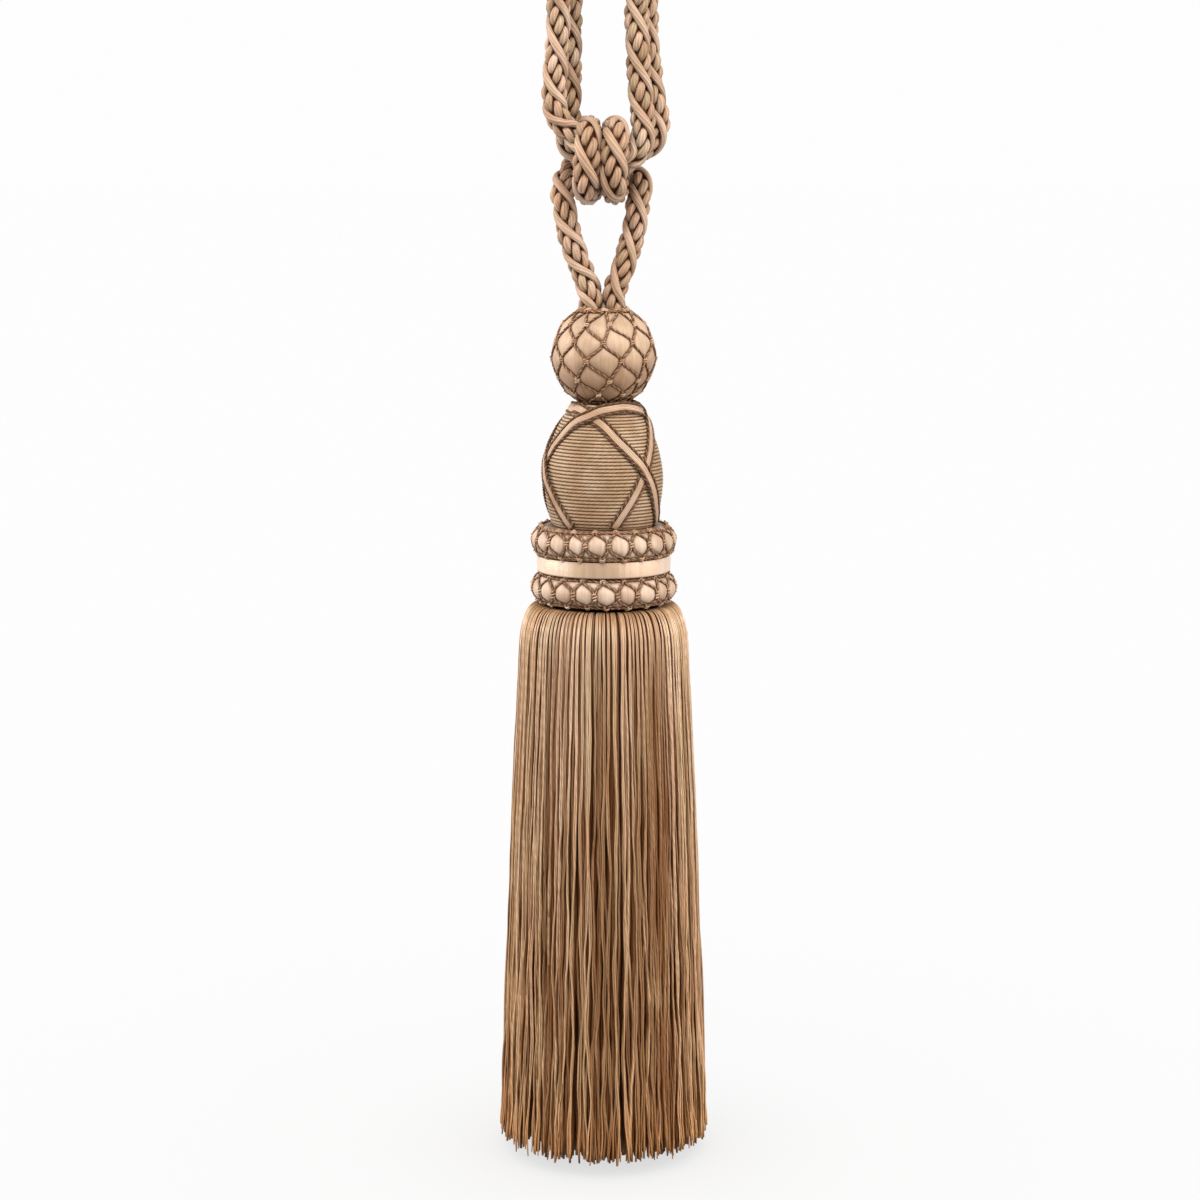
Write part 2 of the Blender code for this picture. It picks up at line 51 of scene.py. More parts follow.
# The camera: level with the knot, looking down a little. Its focal length is in
# pixels of the photograph, whose frame shows the tassel's axis at AXIS_PIXEL.
EYE_DISTANCE = 926.1
EYE_HEIGHT = -82.8
FOCAL_PIXELS = 2674.0
HORIZON_PIXEL = 170.0
AXIS_PIXEL = 603.7
SENSOR = 36.0

# Ropes: two plies of two strands, laid to the left, with a gimp in each groove.
ROPE_DIAMETER = 8.9
EMBRACE_LAY = 33.0
TASSEL_LAY = 28.5
ROPE_STEP = 0.7
PLY_CENTRE = 1.95
STRANDS_A_PLY = 2
STRAND_CENTRE = 1.2
STRAND_RADIUS = 1.36
STRAND_PITCH = 7.9
STRAND_SIDES = 12
GIMP_CENTRE = 3.25
GIMP_HALF_WIDTH = 1.42
GIMP_HALF_DEPTH = 1.05
GIMP_SIDES = 10
GIMP_STRETCH = 0.12
ROPE_CORE = 2.55

EYE_RADIUS = 10.5
EYE_CENTRE = ROPE_DIAMETER / 2 - EYE_RADIUS
LEFT_EYE_X = -13.3
RIGHT_EYE_X = 13.1
RIGHT_REAR_ROPE = (
    (0.9, 4.9, -78.4),
    (6.1, 4.9, -78.1),
    (12.0, 5.0, -76.6),
    (16.4, 5.0, -73.4),
    (18.5, 4.9, -68.3),
    (18.3, 4.8, -64.0),
    (17.2, 4.6, -58.5),
    (16.1, 4.4, -51.6),
    (15.1, 4.3, -43.0),
    (14.5, 4.3, -34.5),
    (14.4, 4.4, -26.9),
    (13.8, 6.4, -19.9),
)
RIGHT_FRONT_ROPE = (
    (11.9, -6.4, -19.9),
    (11.2, -4.4, -26.9),
    (11.2, -4.3, -34.5),
    (11.6, -4.3, -43.0),
    (11.9, -4.4, -51.6),
    (12.6, -4.7, -59.2),
    (13.2, -5.1, -65.9),
    (13.2, -5.2, -71.2),
    (12.2, -5.1, -75.4),
    (10.6, -5.0, -77.6),
    (6.1, -4.9, -78.3),
)
LEFT_FRONT_ROPE = (
    (-0.5, -4.9, -78.4),
    (-5.5, -4.9, -77.3),
    (-7.9, -4.9, -73.6),
    (-10.6, -4.9, -70.2),
    (-13.7, -4.9, -67.9),
    (-16.0, -4.7, -64.0),
    (-16.8, -4.4, -58.0),
    (-16.4, -4.3, -50.6),
    (-15.7, -4.3, -42.1),
    (-15.4, -4.3, -34.5),
    (-15.3, -4.4, -26.9),
    (-14.6, -6.4, -19.9),
)
LEFT_REAR_ROPE = (
    (-12.0, 6.4, -19.9),
    (-11.4, 4.4, -26.9),
    (-11.6, 4.3, -34.5),
    (-11.7, 4.3, -43.0),
    (-11.7, 4.4, -51.6),
    (-11.7, 4.6, -59.0),
    (-12.1, 4.8, -64.7),
    (-12.7, 5.0, -70.5),
    (-11.2, 5.0, -75.2),
    (-6.6, 4.9, -78.1),
    (-0.9, 4.9, -78.4),
)
# Places on the embrace rope where a gimp faces the front.
EMBRACE_GIMPS = (
    (15.0, 4.3, -33.0),
    (11.2, -4.3, -32.0),
    (11.8, -4.4, -48.3),
    (12.9, -4.9, -65.3),
    (-15.0, -4.9, -67.6),
    (-16.7, -4.4, -56.8),
    (-15.8, -4.3, -42.0),
    (-11.6, 4.3, -33.0),
)
KNOT_HEIGHT = -79.5
KNOT_HALF_HEIGHT = 10.8
KNOT_HALF_DEPTH = 14.6
KNOT_SQUARENESS = 3.0
KNOT_FIRST_TURN_X = -5.65
KNOT_PITCH = 9.15
KNOT_BACK_SLANT = 14.6
KNOT_BACK_SHIFT = 0.35
KNOT_START_TURN = -0.46
KNOT_END_TURN = 1.25
KNOT_STEPS_A_TURN = 12
KNOT_FLATTENING = 0.12
LEFT_LEG = (
    (-4.3, 0.0, -131.5),
    (-4.3, 0.0, -128.3),
    (-4.8, 0.0, -124.5),
    (-6.3, 0.1, -119.7),
    (-8.3, 0.3, -115.0),
    (-10.1, 0.7, -110.0),
    (-11.7, 1.5, -105.0),
    (-12.8, 2.5, -100.0),
    (-13.5, 3.9, -95.4),
    (-14.1, 6.5, -91.0),
    (-13.6, 10.5, -86.5),
    (-11.0, 13.6, -82.9),
)
RIGHT_LEG = (
    (4.6, 5.3, -89.4),
    (5.2, 9.4, -87.2),
    (6.2, 12.0, -85.6),
    (8.1, 13.4, -84.6),
    (10.4, 13.4, -84.8),
    (12.1, 11.7, -86.1),
    (12.6, 9.0, -88.6),
    (12.1, 6.4, -92.0),
    (11.5, 4.4, -96.3),
    (10.8, 2.8, -101.3),
    (9.7, 1.4, -106.3),
    (7.9, 0.6, -112.2),
    (5.9, 0.2, -118.3),
    (3.8, 0.0, -123.6),
    (3.3, 0.0, -128.3),
    (3.3, 0.0, -131.5),
)
TASSEL_GIMPS = (
    (-4.6, 0.0, -128.5),
    (-7.8, 0.3, -116.8),
    (-11.9, 1.6, -104.0),
    (-14.0, 6.2, -91.3),
    (-5.4, -14.6, -81.3),
    (3.9, -14.6, -76.3),
    (12.0, 4.8, -94.7),
    (9.2, 1.0, -108.8),
    (4.7, 0.0, -122.7),
)

# Net thread, two plies, and its knots. Two threads run through a knot, this far apart.
THREAD_SIDES = 6
THREAD_ROWS = 15
KNOT_TURNS = 2.2
KNOT_ROWS = 22

# Satin ball and its net: rows from the top, in degrees above the ball's middle.
BALL_HEIGHT = -146.0
BALL_RADIUS = 17.3
BALL_NET_ANGLES = (62, 38, 17, -3, -26, -45, -64)
BALL_NET_COLUMNS = 10
BALL_THREAD = 0.41
BALL_BESIDE = 0.4
BALL_RIM = (-1.9, -0.6, 0.6, 1.9)
BALL_LIFT = 0.6
# The satin ball ends this many degrees above its middle, and is dished under the ropes.
BALL_POLE = 88
BALL_ROWS = 96
BALL_SIDES = 192
BALL_DISH = 3.2
BALL_LINKS = (1.2, 1.5, 1.5, 1.5, 1.5, 1.5, 1.2)
# How many columns a knot of the ball's net lies from its even place, by column and row.
BALL_SHIFTS = {
    (-1, 1): -0.39,
    (1, 1): -0.55,
    (3, 1): -0.28,
    (2, 2): -0.05,
    (-1, 3): -0.1,
    (1, 3): 0.1,
    (0, 4): 0.39,
    (2, 4): 0.6,
    (-3, 5): 0.1,
    (-1, 5): 0.55,
    (1, 5): 0.7,
    (0, 6): 0.5,
}

# Painted shade on the ball's satin by height: darker at the top under the rope legs, lightest just above
# the middle, darkest at the bottom. Height in mm, colour that it is multiplied by.
BALL_PAINTED_SHADE = (
    (-130.0, (0.84, 0.82, 0.8)),
    (-137.0, (1.0, 1.0, 1.0)),
    (-143.0, (0.94, 0.93, 0.91)),
    (-150.0, (0.77, 0.71, 0.65)),
    (-160.0, (0.67, 0.56, 0.47)),
)

# Wound body: radius, height, down its outside.
BODY_PROFILE = (
    (5.0, -164.4),
    (8.0, -163.6),
    (10.1, -162.7),
    (11.1, -162.4),
    (12.0, -163.3),
    (12.9, -165.0),
    (14.1, -167.2),
    (16.4, -171.4),
    (18.7, -176.8),
    (20.1, -182.3),
    (20.8, -188.4),
    (20.4, -194.3),
    (19.6, -199.5),
    (18.8, -202.9),
    (17.8, -204.9),
    (14.0, -205.9),
)
WINDING_PITCH = 1.235
WINDING_HALF_WIDTH = 0.64
WINDING_HALF_DEPTH = 0.5
WINDING_SIDES = 6
WINDING_STEPS_A_TURN = 96
WINDING_START = 150
# A core painted in the dark shade colour, so that no light comes through between the turns.
WINDING_CORE_INSET = 0.75
WINDING_CORE_STEP = 1.8
WINDING_CORE_SIDES = 48

# Straps: degrees from the front, height, how far the strap lies off the body.
STRAP_TURNS = (0, 125, 246)
# How much closer each set of straps lies at the shoulder.
STRAP_TIGHTNESS = (0.0, 0.0, 1.2)
RIGHT_STRAP_PATH = (
    (-100, -163.8, -1.5),
    (-80, -163.5, -1.3),
    (-62, -163.4, -0.5),
    (-48, -163.7, 0.3),
    (-34, -164.5, 0.7),
    (-11, -167.4, 0.4),
    (0, -169.4, 0.4),
    (15.7, -174.3, 0.45),
    (30, -179.5, 0.9),
    (38.7, -183.2, 1.3),
    (45, -187.0, 1.4),
    (53.8, -192.0, 1.0),
    (62, -197.0, 0.5),
    (70, -201.0, 0.4),
    (77, -204.3, 0.4),
)
LEFT_STRAP_PATH = (
    (85, -165.8, 0.4),
    (63, -164.5, 0.9),
    (34, -163.6, 1.1),
    (13, -163.9, 0.9),
    (-5, -164.6, 0.9),
    (-21, -166.4, 1.3),
    (-40, -168.6, 0.9),
    (-56, -173.0, 0.45),
    (-68, -177.5, 0.4),
    (-77, -182.0, 0.4),
    (-90.7, -190.5, 0.4),
    (-98, -195.0, 0.4),
    (-106, -199.5, 0.4),
    (-114.4, -204.0, 0.4),
)
STRAP_TOP = -162.1
STRAP_STEP = 0.4
STRAP_HALF_WIDTH = 1.22
STRAP_HALF_DEPTH = 0.28
STRAP_CORD_BESIDE = 1.78
STRAP_CORD_PLY = 0.3
STRAP_CORD_CENTRE = 0.23
STRAP_CORD_PITCH = 2.4

# Rings: centre radius, height, radius of the section.
UPPER_RING = (19.1, -210.4, 5.5)
LOWER_RING = (19.8, -226.6, 5.0)
RING_NET_COLUMNS = 20
UPPER_NET_ANGLES = (60, 11, -41)
LOWER_NET_ANGLES = (64, -4, -52)
RING_THREAD = 0.38
RING_BESIDE = 0.34
RING_RIM = (-0.9, 0.9)
RING_LIFT = 0.5
RING_ROUNDING = 0.65
RING_SIDES = 36
UPPER_RING_LINKS = (1.3, 2.0, 1.9)
LOWER_RING_LINKS = (2.8, 2.6, 1.5)
UPPER_ROW_SHIFTS = (-0.9, -0.62, -0.22)
LOWER_ROW_SHIFTS = (-0.15, 0.1, 0.4)
RIM_COIL = 1.85
COIL = 1.4
# Painted sheen on the ribbon: its colour is darker at the front and back and lighter at the
# sides, where the lamps reflect. Share of a turn from the front, colour.
BAND_PAINTED_SHEEN = (
    (0.0, (0.58, 0.53, 0.46)),
    (0.04, (0.66, 0.61, 0.54)),
    (0.10, (0.9, 0.87, 0.83)),
    (0.25, (1.0, 1.0, 1.0)),
    (0.4, (0.95, 0.93, 0.9)),
    (0.5, (0.6, 0.55, 0.48)),
    (0.62, (0.95, 0.93, 0.9)),
    (0.75, (1.0, 1.0, 1.0)),
    (0.88, (1.0, 1.0, 1.0)),
    (0.93, (0.72, 0.68, 0.61)),
    (0.97, (0.58, 0.53, 0.46)),
    (1.0, (0.58, 0.53, 0.46)),
)
BAND_HEIGHT = -218.0
BAND_RADIUS = 23.3
BAND_HALF_HEIGHT = 2.75

# Skirt.
SKIRT_TOP = -232.9
SKIRT_END = -425.6
SKIRT_STRAND = 0.6
SKIRT_PLY = 0.34
SKIRT_PLY_GAP = 0.52
SKIRT_OUTSIDE = (
    # radius, height, down the middle of the outermost strands
    (20.5, -232.9),
    (23.5, -232.8),
    (25.2, -233.5),
    (26.6, -235.1),
    (27.8, -237.8),
    (28.7, -241.2),
    (29.3, -247.0),
    (29.9, -260.3),
    (32.1, -303.7),
    (34.2, -368.4),
    (36.7, -425.6),
)
SKIRT_BEND_LENGTH = 22.0
SKIRT_BEND_SHARE = 0.24
SKIRT_CLUMPS = 44
SKIRT_SIDES = 4
# Waves of a strand on its way down: fewest, most, how wide in mm. Sideways, then in and out.
SKIRT_SWAYS = ((1.2, 3.0, 0.6), (3.0, 6.0, 0.3), (8.0, 14.0, 0.13))
SKIRT_RIPPLES = ((1.0, 4.0, 0.3), (6.0, 10.0, 0.14))
# Layers of each piece, from the outside: strands, how far inside, points down a strand,
# its radius, how much it wanders, how far it ends past the rest and how unevenly, plies.
SKIRT_LAYERS = {
    "skirt_outer_yarn": ((120, 0.0, 84, SKIRT_PLY, 1.0, (1.1, 1.0), 2),),
    "skirt_second_yarn": ((125, 0.9, 52, SKIRT_STRAND, 1.3, (1.4, 1.1), 1),),
    "skirt_middle_yarn": (
        (165, 1.7, 34, 0.7, 1.0, (1.5, 1.1), 1),
        (150, 3.1, 26, 0.75, 1.0, (1.6, 1.2), 1),
        (120, 5.0, 22, 0.9, 1.0, (1.8, 1.2), 1),
    ),
    "skirt_inner_yarn": tuple(
        (count, inset, 18, 1.05, 1.0, (1.8, 1.2), 1)
        for count, inset in (
            (100, 7.5), (90, 10.5), (78, 14.0), (62, 18.0),
            (46, 22.0), (32, 26.0), (20, 30.0), (10, 33.5),
        )
    ),
}
# Loose strands: degrees from the front, where it parts, how far out, its end.
STRAY_STRANDS = (
    (-93, -345.0, 1.6, -416.0),
    (-84, -395.0, 1.4, -421.0),
    (92, -350.0, 1.9, -421.5),
    (97, -335.0, 1.2, -402.0),
    (79, -398.0, 1.2, -424.0),
    (172, -360.0, 1.5, -420.0),
)
# Painted light and shade on the yarn by height: a painted shadow under the lower ring, a
# painted highlight across the bend, then painted shade that grows darker and more orange
# towards the ends. Height, colour that it is multiplied by.
SKIRT_PAINTED_LIGHT = (
    (-232.0, (0.62, 0.52, 0.42)),
    (-234.6, (1.0, 0.97, 0.93)),
    (-238.0, (1.4, 1.5, 1.62)),
    (-243.0, (1.26, 1.32, 1.4)),
    (-252.0, (1.1, 1.12, 1.15)),
    (-300.0, (1.07, 1.05, 1.03)),
    (-345.0, (1.02, 0.95, 0.88)),
    (-400.0, (0.97, 0.86, 0.73)),
    (-412.0, (0.98, 0.80, 0.61)),
    (-425.0, (0.99, 0.73, 0.47)),
)
FLOOR_HEIGHT = -430.2
FLOOR_REACH = 60.0
LIGHT_AIM = -220.0
SKY_STRENGTH = 0.988
# Soft lights: azimuth, elevation, distance, width and height in metres, power, colour.
SOFTBOXES = (
    ("left_light", -95, 14, 1.1, 0.55, 1.0, 15.0, (1.0, 0.97, 0.94)),
    ("right_light", 66, 14, 1.1, 0.6, 1.0, 13.0, (1.0, 0.97, 0.94)),
    ("top_light", -5, 55, 1.0, 0.7, 0.35, 13.0, (1.0, 0.98, 0.96)),
)

# How much faster green and blue fall than red where a yarn is dark.
SHADE_POWERS = (1.33, 1.8)
WARM_GLOSS = (1.0, 0.74, 0.52, 1.0)
YARN_GLOSS = 0.2
SHEEN = 0.03

# Spun materials: the tones that strands have, the painted shade colour in the hollows, fibre
# lines round a strand, how much they slant, how long they run, and how rough and bumped they are.
YARNS = {
    "twisted_cord": {
        "tones": (
            (0.25, 0.16, 0.108),
            (0.33, 0.21, 0.148),
            (0.25, 0.175, 0.11),
            (0.35, 0.245, 0.178),
            (0.315, 0.214, 0.155),
        ),
        "painted_shade": (0.04, 0.009, 0.001),
        "lines": 7, "slant": 0.35, "length": 6.0, "roughness": 0.42, "bump": 0.5,
    },
    "net_thread": {
        "tones": ((0.11, 0.05, 0.023), (0.19, 0.102, 0.058), (0.31, 0.19, 0.12), (0.45, 0.315, 0.225)),
        "painted_shade": (0.03, 0.007, 0.001),
        "lines": 3, "slant": 0.5, "length": 2.0, "roughness": 0.5, "bump": 0.4,
    },
    "wound_cord": {
        "tones": ((0.32, 0.225, 0.145), (0.35, 0.25, 0.168)),
        "painted_shade": (0.045, 0.014, 0.002),
        "lines": 4, "slant": 0.6, "length": 3.0, "roughness": 0.5, "bump": 0.4,
    },
    "strap_gimp": {
        "tones": ((0.07, 0.029, 0.013), (0.14, 0.073, 0.04), (0.22, 0.135, 0.084), (0.35, 0.245, 0.178)),
        "painted_shade": (0.03, 0.008, 0.001),
        "lines": 12, "slant": 0.5, "length": 2.5, "roughness": 0.4, "bump": 0.5,
        "contrast": (0.55, 1.2),
    },
    "skirt_yarn": {
        "tones": (
            (0.19, 0.103, 0.049),
            (0.29, 0.175, 0.098),
            (0.35, 0.23, 0.147),
            (0.46, 0.325, 0.222),
            (0.33, 0.224, 0.128),
        ),
        "painted_shade": (0.09, 0.03, 0.007),
        "lines": 3, "slant": 0.25, "length": 22.0, "roughness": 0.4, "bump": 0.35,
        "blotch": (60.0, 0.12), "levels": SKIRT_PAINTED_LIGHT, "plain_top": (0.40, 0.27, 0.175),
    },
}
# The colour of the shade painted on the satins: beside their threads, in the ball's dish and past the
# nets.
SATIN_PAINTED_SHADE = (0.05, 0.015, 0.003)
# Satins: light and shadow are a lit and a shaded copy of one colour, mixed in soft blotches as painted
# light and shade.
SATINS = {
    "satin": {
        "light": (0.36, 0.252, 0.178), "shadow": (0.30, 0.203, 0.136),
        "lines": 300, "roughness": 0.42, "gloss": 0.3, "levels": BALL_PAINTED_SHADE,
    },
    "ring_satin": {
        "light": (0.40, 0.30, 0.23), "shadow": (0.30, 0.205, 0.145),
        "lines": 600, "roughness": 0.42, "gloss": 0.25, "along_axis": False,
    },
    "band_satin": {
        "light": (0.52, 0.39, 0.30), "shadow": (0.47, 0.35, 0.27),
        "lines": 500, "roughness": 0.26, "gloss": 0.8, "along_axis": False, "sides": BAND_PAINTED_SHEEN,
    },
}


# --- curves -----------------------------------------------------------------------


def centripetal(before, start, end, after, t):
    """A centripetal Catmull-Rom curve from start to end, at t from 0 to 1."""
    t1 = (start - before).length ** 0.5
    t2 = t1 + (end - start).length ** 0.5
    t3 = t2 + (after - end).length ** 0.5
    at = t1 + (t2 - t1) * t
    a1 = before.lerp(start, at / t1)
    a2 = start.lerp(end, (at - t1) / (t2 - t1))
    a3 = end.lerp(after, (at - t2) / (t3 - t2))
    b1 = a1.lerp(a2, at / t2)
    b2 = a2.lerp(a3, (at - t1) / (t3 - t1))
    return b1.lerp(b2, (at - t1) / (t2 - t1))


def smooth_route(points, step):
    """Even points along one smooth curve through the given ones, as an array."""
    knots = [Vector(p) for p in points]
    knots = [2 * knots[0] - knots[1], *knots, 2 * knots[-1] - knots[-2]]
    fine = []
    for before, start, end, after in zip(knots, knots[1:], knots[2:], knots[3:]):
        fine += [centripetal(before, start, end, after, i / 24) for i in range(24)]
    fine.append(knots[-2])
    fine = np.array(fine)
    return even_steps(fine, step)


def even_steps(path, step):
    """The same path with points about a step apart."""
    lengths = np.append(0.0, np.cumsum(np.linalg.norm(np.diff(path, axis=0), axis=1)))
    wanted = np.linspace(0.0, lengths[-1], round(lengths[-1] / step) + 1)
    return np.stack([np.interp(wanted, lengths, path[:, i]) for i in range(3)], axis=1)


def unit(vectors):
    """Vectors of length 1."""
    return vectors / np.maximum(np.linalg.norm(vectors, axis=-1, keepdims=True), 1e-9)


def frames_along(paths):
    """Two directions across each path, carried along it without twist."""
    tangents = unit(np.gradient(paths, axis=-2))
    sides = np.empty_like(paths)
    first = [Vector(t).orthogonal().normalized() for t in tangents[..., 0, :].reshape(-1, 3)]
    side = np.array(first).reshape(paths[..., 0, :].shape)
    for i in range(paths.shape[-2]):
        tangent = tangents[..., i, :]
        side = unit(side - tangent * (side * tangent).sum(-1, keepdims=True))
        sides[..., i, :] = side
    return sides, np.cross(tangents, sides)


def around(paths, frames, radius, angle):
    """Each path moved out by a radius, at an angle in its frame."""
    sides, ups = frames
    angle = np.asarray(angle)[..., None]
    radius = np.asarray(radius)[..., None]
    return paths + radius * (np.cos(angle) * sides + np.sin(angle) * ups)


def rings_on(paths, frames, half_width, half_depth, corners, start=0.0):
    """An oval ring of points at each point of each path."""
    sides, ups = frames
    angle = (start + TURN * np.arange(corners) / corners)[:, None]
    across = np.cos(angle) * np.asarray(half_width)[..., None, None]
    outward = np.sin(angle) * np.asarray(half_depth)[..., None, None]
    return paths[..., None, :] + across * sides[..., None, :] + outward * ups[..., None, :]


def on_circle(radius, degrees, height):
    """Points at this radius round the axis. 0 degrees is the front."""
    angle = np.radians(degrees)
    x, y, z = np.broadcast_arrays(radius * np.sin(angle), -radius * np.cos(angle), height)
    return np.stack((x, y, z), axis=-1)


def lengths_along(paths):
    """The distance from the start at each point of each path."""
    steps = np.linalg.norm(np.diff(paths, axis=-2), axis=-1)
    return np.concatenate((np.zeros_like(steps[..., :1]), np.cumsum(steps, axis=-1)), axis=-1)


# --- pieces -----------------------------------------------------------------------


class Piece:
    """Gathers four-sided faces. Each corner keeps its place on its strand (turn round
    it, length along it, the strand's tone), and each point how far out it lies, which the
    materials use to paint shade into the hollows."""

    def __init__(self):
        self.points = []
        self.faces = []
        self.places = []
        self.depths = []
        self.count = 0

    def add(self, grids, along, tone, depth=1.0, closed=True, capped=True):
        """Adds one or many strands: grids holds (strand, row, side, 3) points."""
        if grids.ndim == 3:
            grids = grids[None]
        strands, rows, corners = grids.shape[:3]
        along = np.broadcast_to(along, (strands, rows))
        tone = np.broadcast_to(tone, (strands,))
        depth = np.broadcast_to(depth, (strands, rows, corners))
        index = self.count + np.arange(strands * rows * corners).reshape(strands, rows, corners)
        if closed:
            following = np.roll(index, -1, axis=2)
        else:
            index, following = index[:, :, :-1], index[:, :, 1:]
        faces = (index[:, :-1], following[:, :-1], following[:, 1:], index[:, 1:])
        faces = np.stack(faces, axis=-1)
        turn = np.arange(faces.shape[2] + 1) / faces.shape[2]
        places = np.empty((*faces.shape, 3))
        places[..., 0] = np.stack((turn[:-1], turn[1:], turn[1:], turn[:-1]), axis=-1)
        ends = (along[:, :-1], along[:, :-1], along[:, 1:], along[:, 1:])
        places[..., 1] = np.stack(ends, axis=-1)[:, :, None, :]
        places[..., 2] = tone[:, None, None, None]
        self.points.append(grids.reshape(-1, 3))
        self.depths.append(depth.reshape(-1))
        self.faces.append(faces.reshape(-1, 4))
        self.places.append(places.reshape(-1, 3))
        if capped:
            self.cap(index[:, 0, ::-1], along[:, 0], tone)
            self.cap(index[:, -1], along[:, -1], tone)
        self.count += strands * rows * corners

    def cap(self, rings, along, tone):
        """Closes the ends of strands that have an even number of sides."""
        corners = rings.shape[1]
        for i in range(corners // 2 - 1):
            faces = rings[:, [i, i + 1, corners - 2 - i, corners - 1 - i]]
            places = np.zeros((*faces.shape, 3))
            places[..., 1] = along[:, None]
            places[..., 2] = tone[:, None]
            self.faces.append(faces)
            self.places.append(places.reshape(-1, 3))

    def finish(self, name, material, slot, *replaced):
        """Makes the mesh object and hangs it on the frame."""
        mesh = bpy.data.meshes.new(name)
        points = np.concatenate(self.points) * MM
        faces = np.concatenate(self.faces)
        mesh.vertices.add(len(points))
        mesh.vertices.foreach_set("co", points.astype(np.float32).ravel())
        mesh.loops.add(faces.size)
        mesh.loops.foreach_set("vertex_index", faces.astype(np.int32).ravel())
        mesh.polygons.add(len(faces))
        mesh.polygons.foreach_set("loop_start", np.arange(0, faces.size, 4, dtype=np.int32))
        mesh.update(calc_edges=True)
        strand = mesh.attributes.new("strand", "FLOAT_VECTOR", "CORNER")
        strand.data.foreach_set("vector", np.concatenate(self.places).astype(np.float32).ravel())
        depth = mesh.attributes.new("depth", "FLOAT", "POINT")
        depth.data.foreach_set("value", np.concatenate(self.depths).astype(np.float32))
        mesh.shade_smooth()
        mesh.materials.append(material)
        piece = bpy.data.objects.new(name, mesh)
        bpy.context.scene.collection.objects.link(piece)
        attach(piece, "root")
        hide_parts(*replaced)
        return piece


# --- materials --------------------------------------------------------------------


def node(tree, kind, inputs=(), **settings):
    """Adds a shader node. An input is a number, a colour or another node's output."""
    made = tree.nodes.new("ShaderNode" + kind)
    for name, value in settings.items():
        setattr(made, name, value)
    for name, value in dict(inputs).items():
        if isinstance(value, bpy.types.NodeSocket):
            tree.links.new(value, made.inputs[name])
        else:
            made.inputs[name].default_value = value
    return made


def maths(tree, operation, *values):
    """One sum, as an output."""
    return node(tree, "Math", enumerate(values), operation=operation).outputs[0]


def mixed(tree, factor, first, second, blend="MIX"):
    """Two colours mixed, as an output."""
    inputs = {"Factor": factor, 6: first, 7: second}
    return node(tree, "Mix", inputs, data_type="RGBA", blend_type=blend).outputs[2]


def spread(tree, value, low, high, to_low=0.0, to_high=1.0):
    """A value moved smoothly from one range to another."""
    inputs = {"Value": value, "From Min": low, "From Max": high, "To Min": to_low, "To Max": to_high}
    return node(tree, "MapRange", inputs, interpolation_type="SMOOTHSTEP").outputs[0]


def ramp(tree, value, *stops):
    """A colour for each value: stops are (place, colour)."""
    made = node(tree, "ValToRGB", {0: value})
    elements = made.color_ramp.elements
    elements[0].position, elements[0].color = stops[0][0], (*stops[0][1], 1)
    elements[1].position, elements[1].color = stops[-1][0], (*stops[-1][1], 1)
    for place, colour in stops[1:-1]:
        elements.new(place).color = (*colour, 1)
    return made.outputs[0]


def strand_place(tree):
    """The turn round the strand, the length along it and its tone."""
    read = node(tree, "Attribute", attribute_name="strand").outputs["Vector"]
    return node(tree, "SeparateXYZ", {0: read}).outputs


def fibres(tree, place, lines, slant, length):
    """Fine lines along a strand, from 0 to 1: some even ones, broken up by noise."""
    turn, along, tone = place
    leaned = maths(tree, "ADD", turn, maths(tree, "MULTIPLY", along, slant / lines))
    wave = maths(tree, "SINE", maths(tree, "MULTIPLY", leaned, TURN * lines))
    across = maths(tree, "MULTIPLY", leaned, lines * 1.7)
    down = maths(tree, "MULTIPLY", along, 1 / length)
    shifted = maths(tree, "MULTIPLY", tone, 91.0)
    vector = node(tree, "CombineXYZ", {0: across, 1: down, 2: shifted}).outputs[0]
    noise = node(tree, "TexNoise", {"Vector": vector, "Scale": 1.0, "Detail": 3.0}).outputs["Fac"]
    return maths(tree, "ADD", maths(tree, "MULTIPLY", wave, 0.16), noise)


def stretched_noise(tree, scale, flatten, detail=2.0):
    """Noise over the piece. Its blotches are long down the tassel where flatten is small."""
    position = node(tree, "NewGeometry").outputs["Position"]
    squeezed = node(tree, "VectorMath", {0: position, 1: (1.0, 1.0, flatten)}, operation="MULTIPLY")
    inputs = {"Vector": squeezed.outputs[0], "Scale": scale, "Detail": detail}
    return node(tree, "TexNoise", inputs).outputs["Fac"]


def shaded(tree, colour, shade):
    """A colour made lighter or darker by a value. Dark parts turn redder."""
    green, blue = (maths(tree, "POWER", shade, power) for power in SHADE_POWERS)
    tint = node(tree, "CombineColor", {0: shade, 1: green, 2: blue}).outputs[0]
    return mixed(tree, 1.0, colour, tint, "MULTIPLY")


def height_of(tree):
    """The height of the point that is shaded, in metres."""
    position = node(tree, "NewGeometry").outputs["Position"]
    return node(tree, "SeparateXYZ", {0: position}).outputs[2]


def lowered(tree, colour, levels):
    """A colour multiplied further down, painting light and shade by height: levels are (height in mm,
    colour), from the top.
    """
    top, bottom = levels[0][0] * MM, levels[-1][0] * MM
    inputs = {"Value": height_of(tree), "From Min": top, "From Max": bottom}
    down = node(tree, "MapRange", inputs).outputs[0]
    stops = [((h * MM - top) / (bottom - top), tint) for h, tint in levels]
    return mixed(tree, 1.0, colour, ramp(tree, down, *stops), "MULTIPLY")


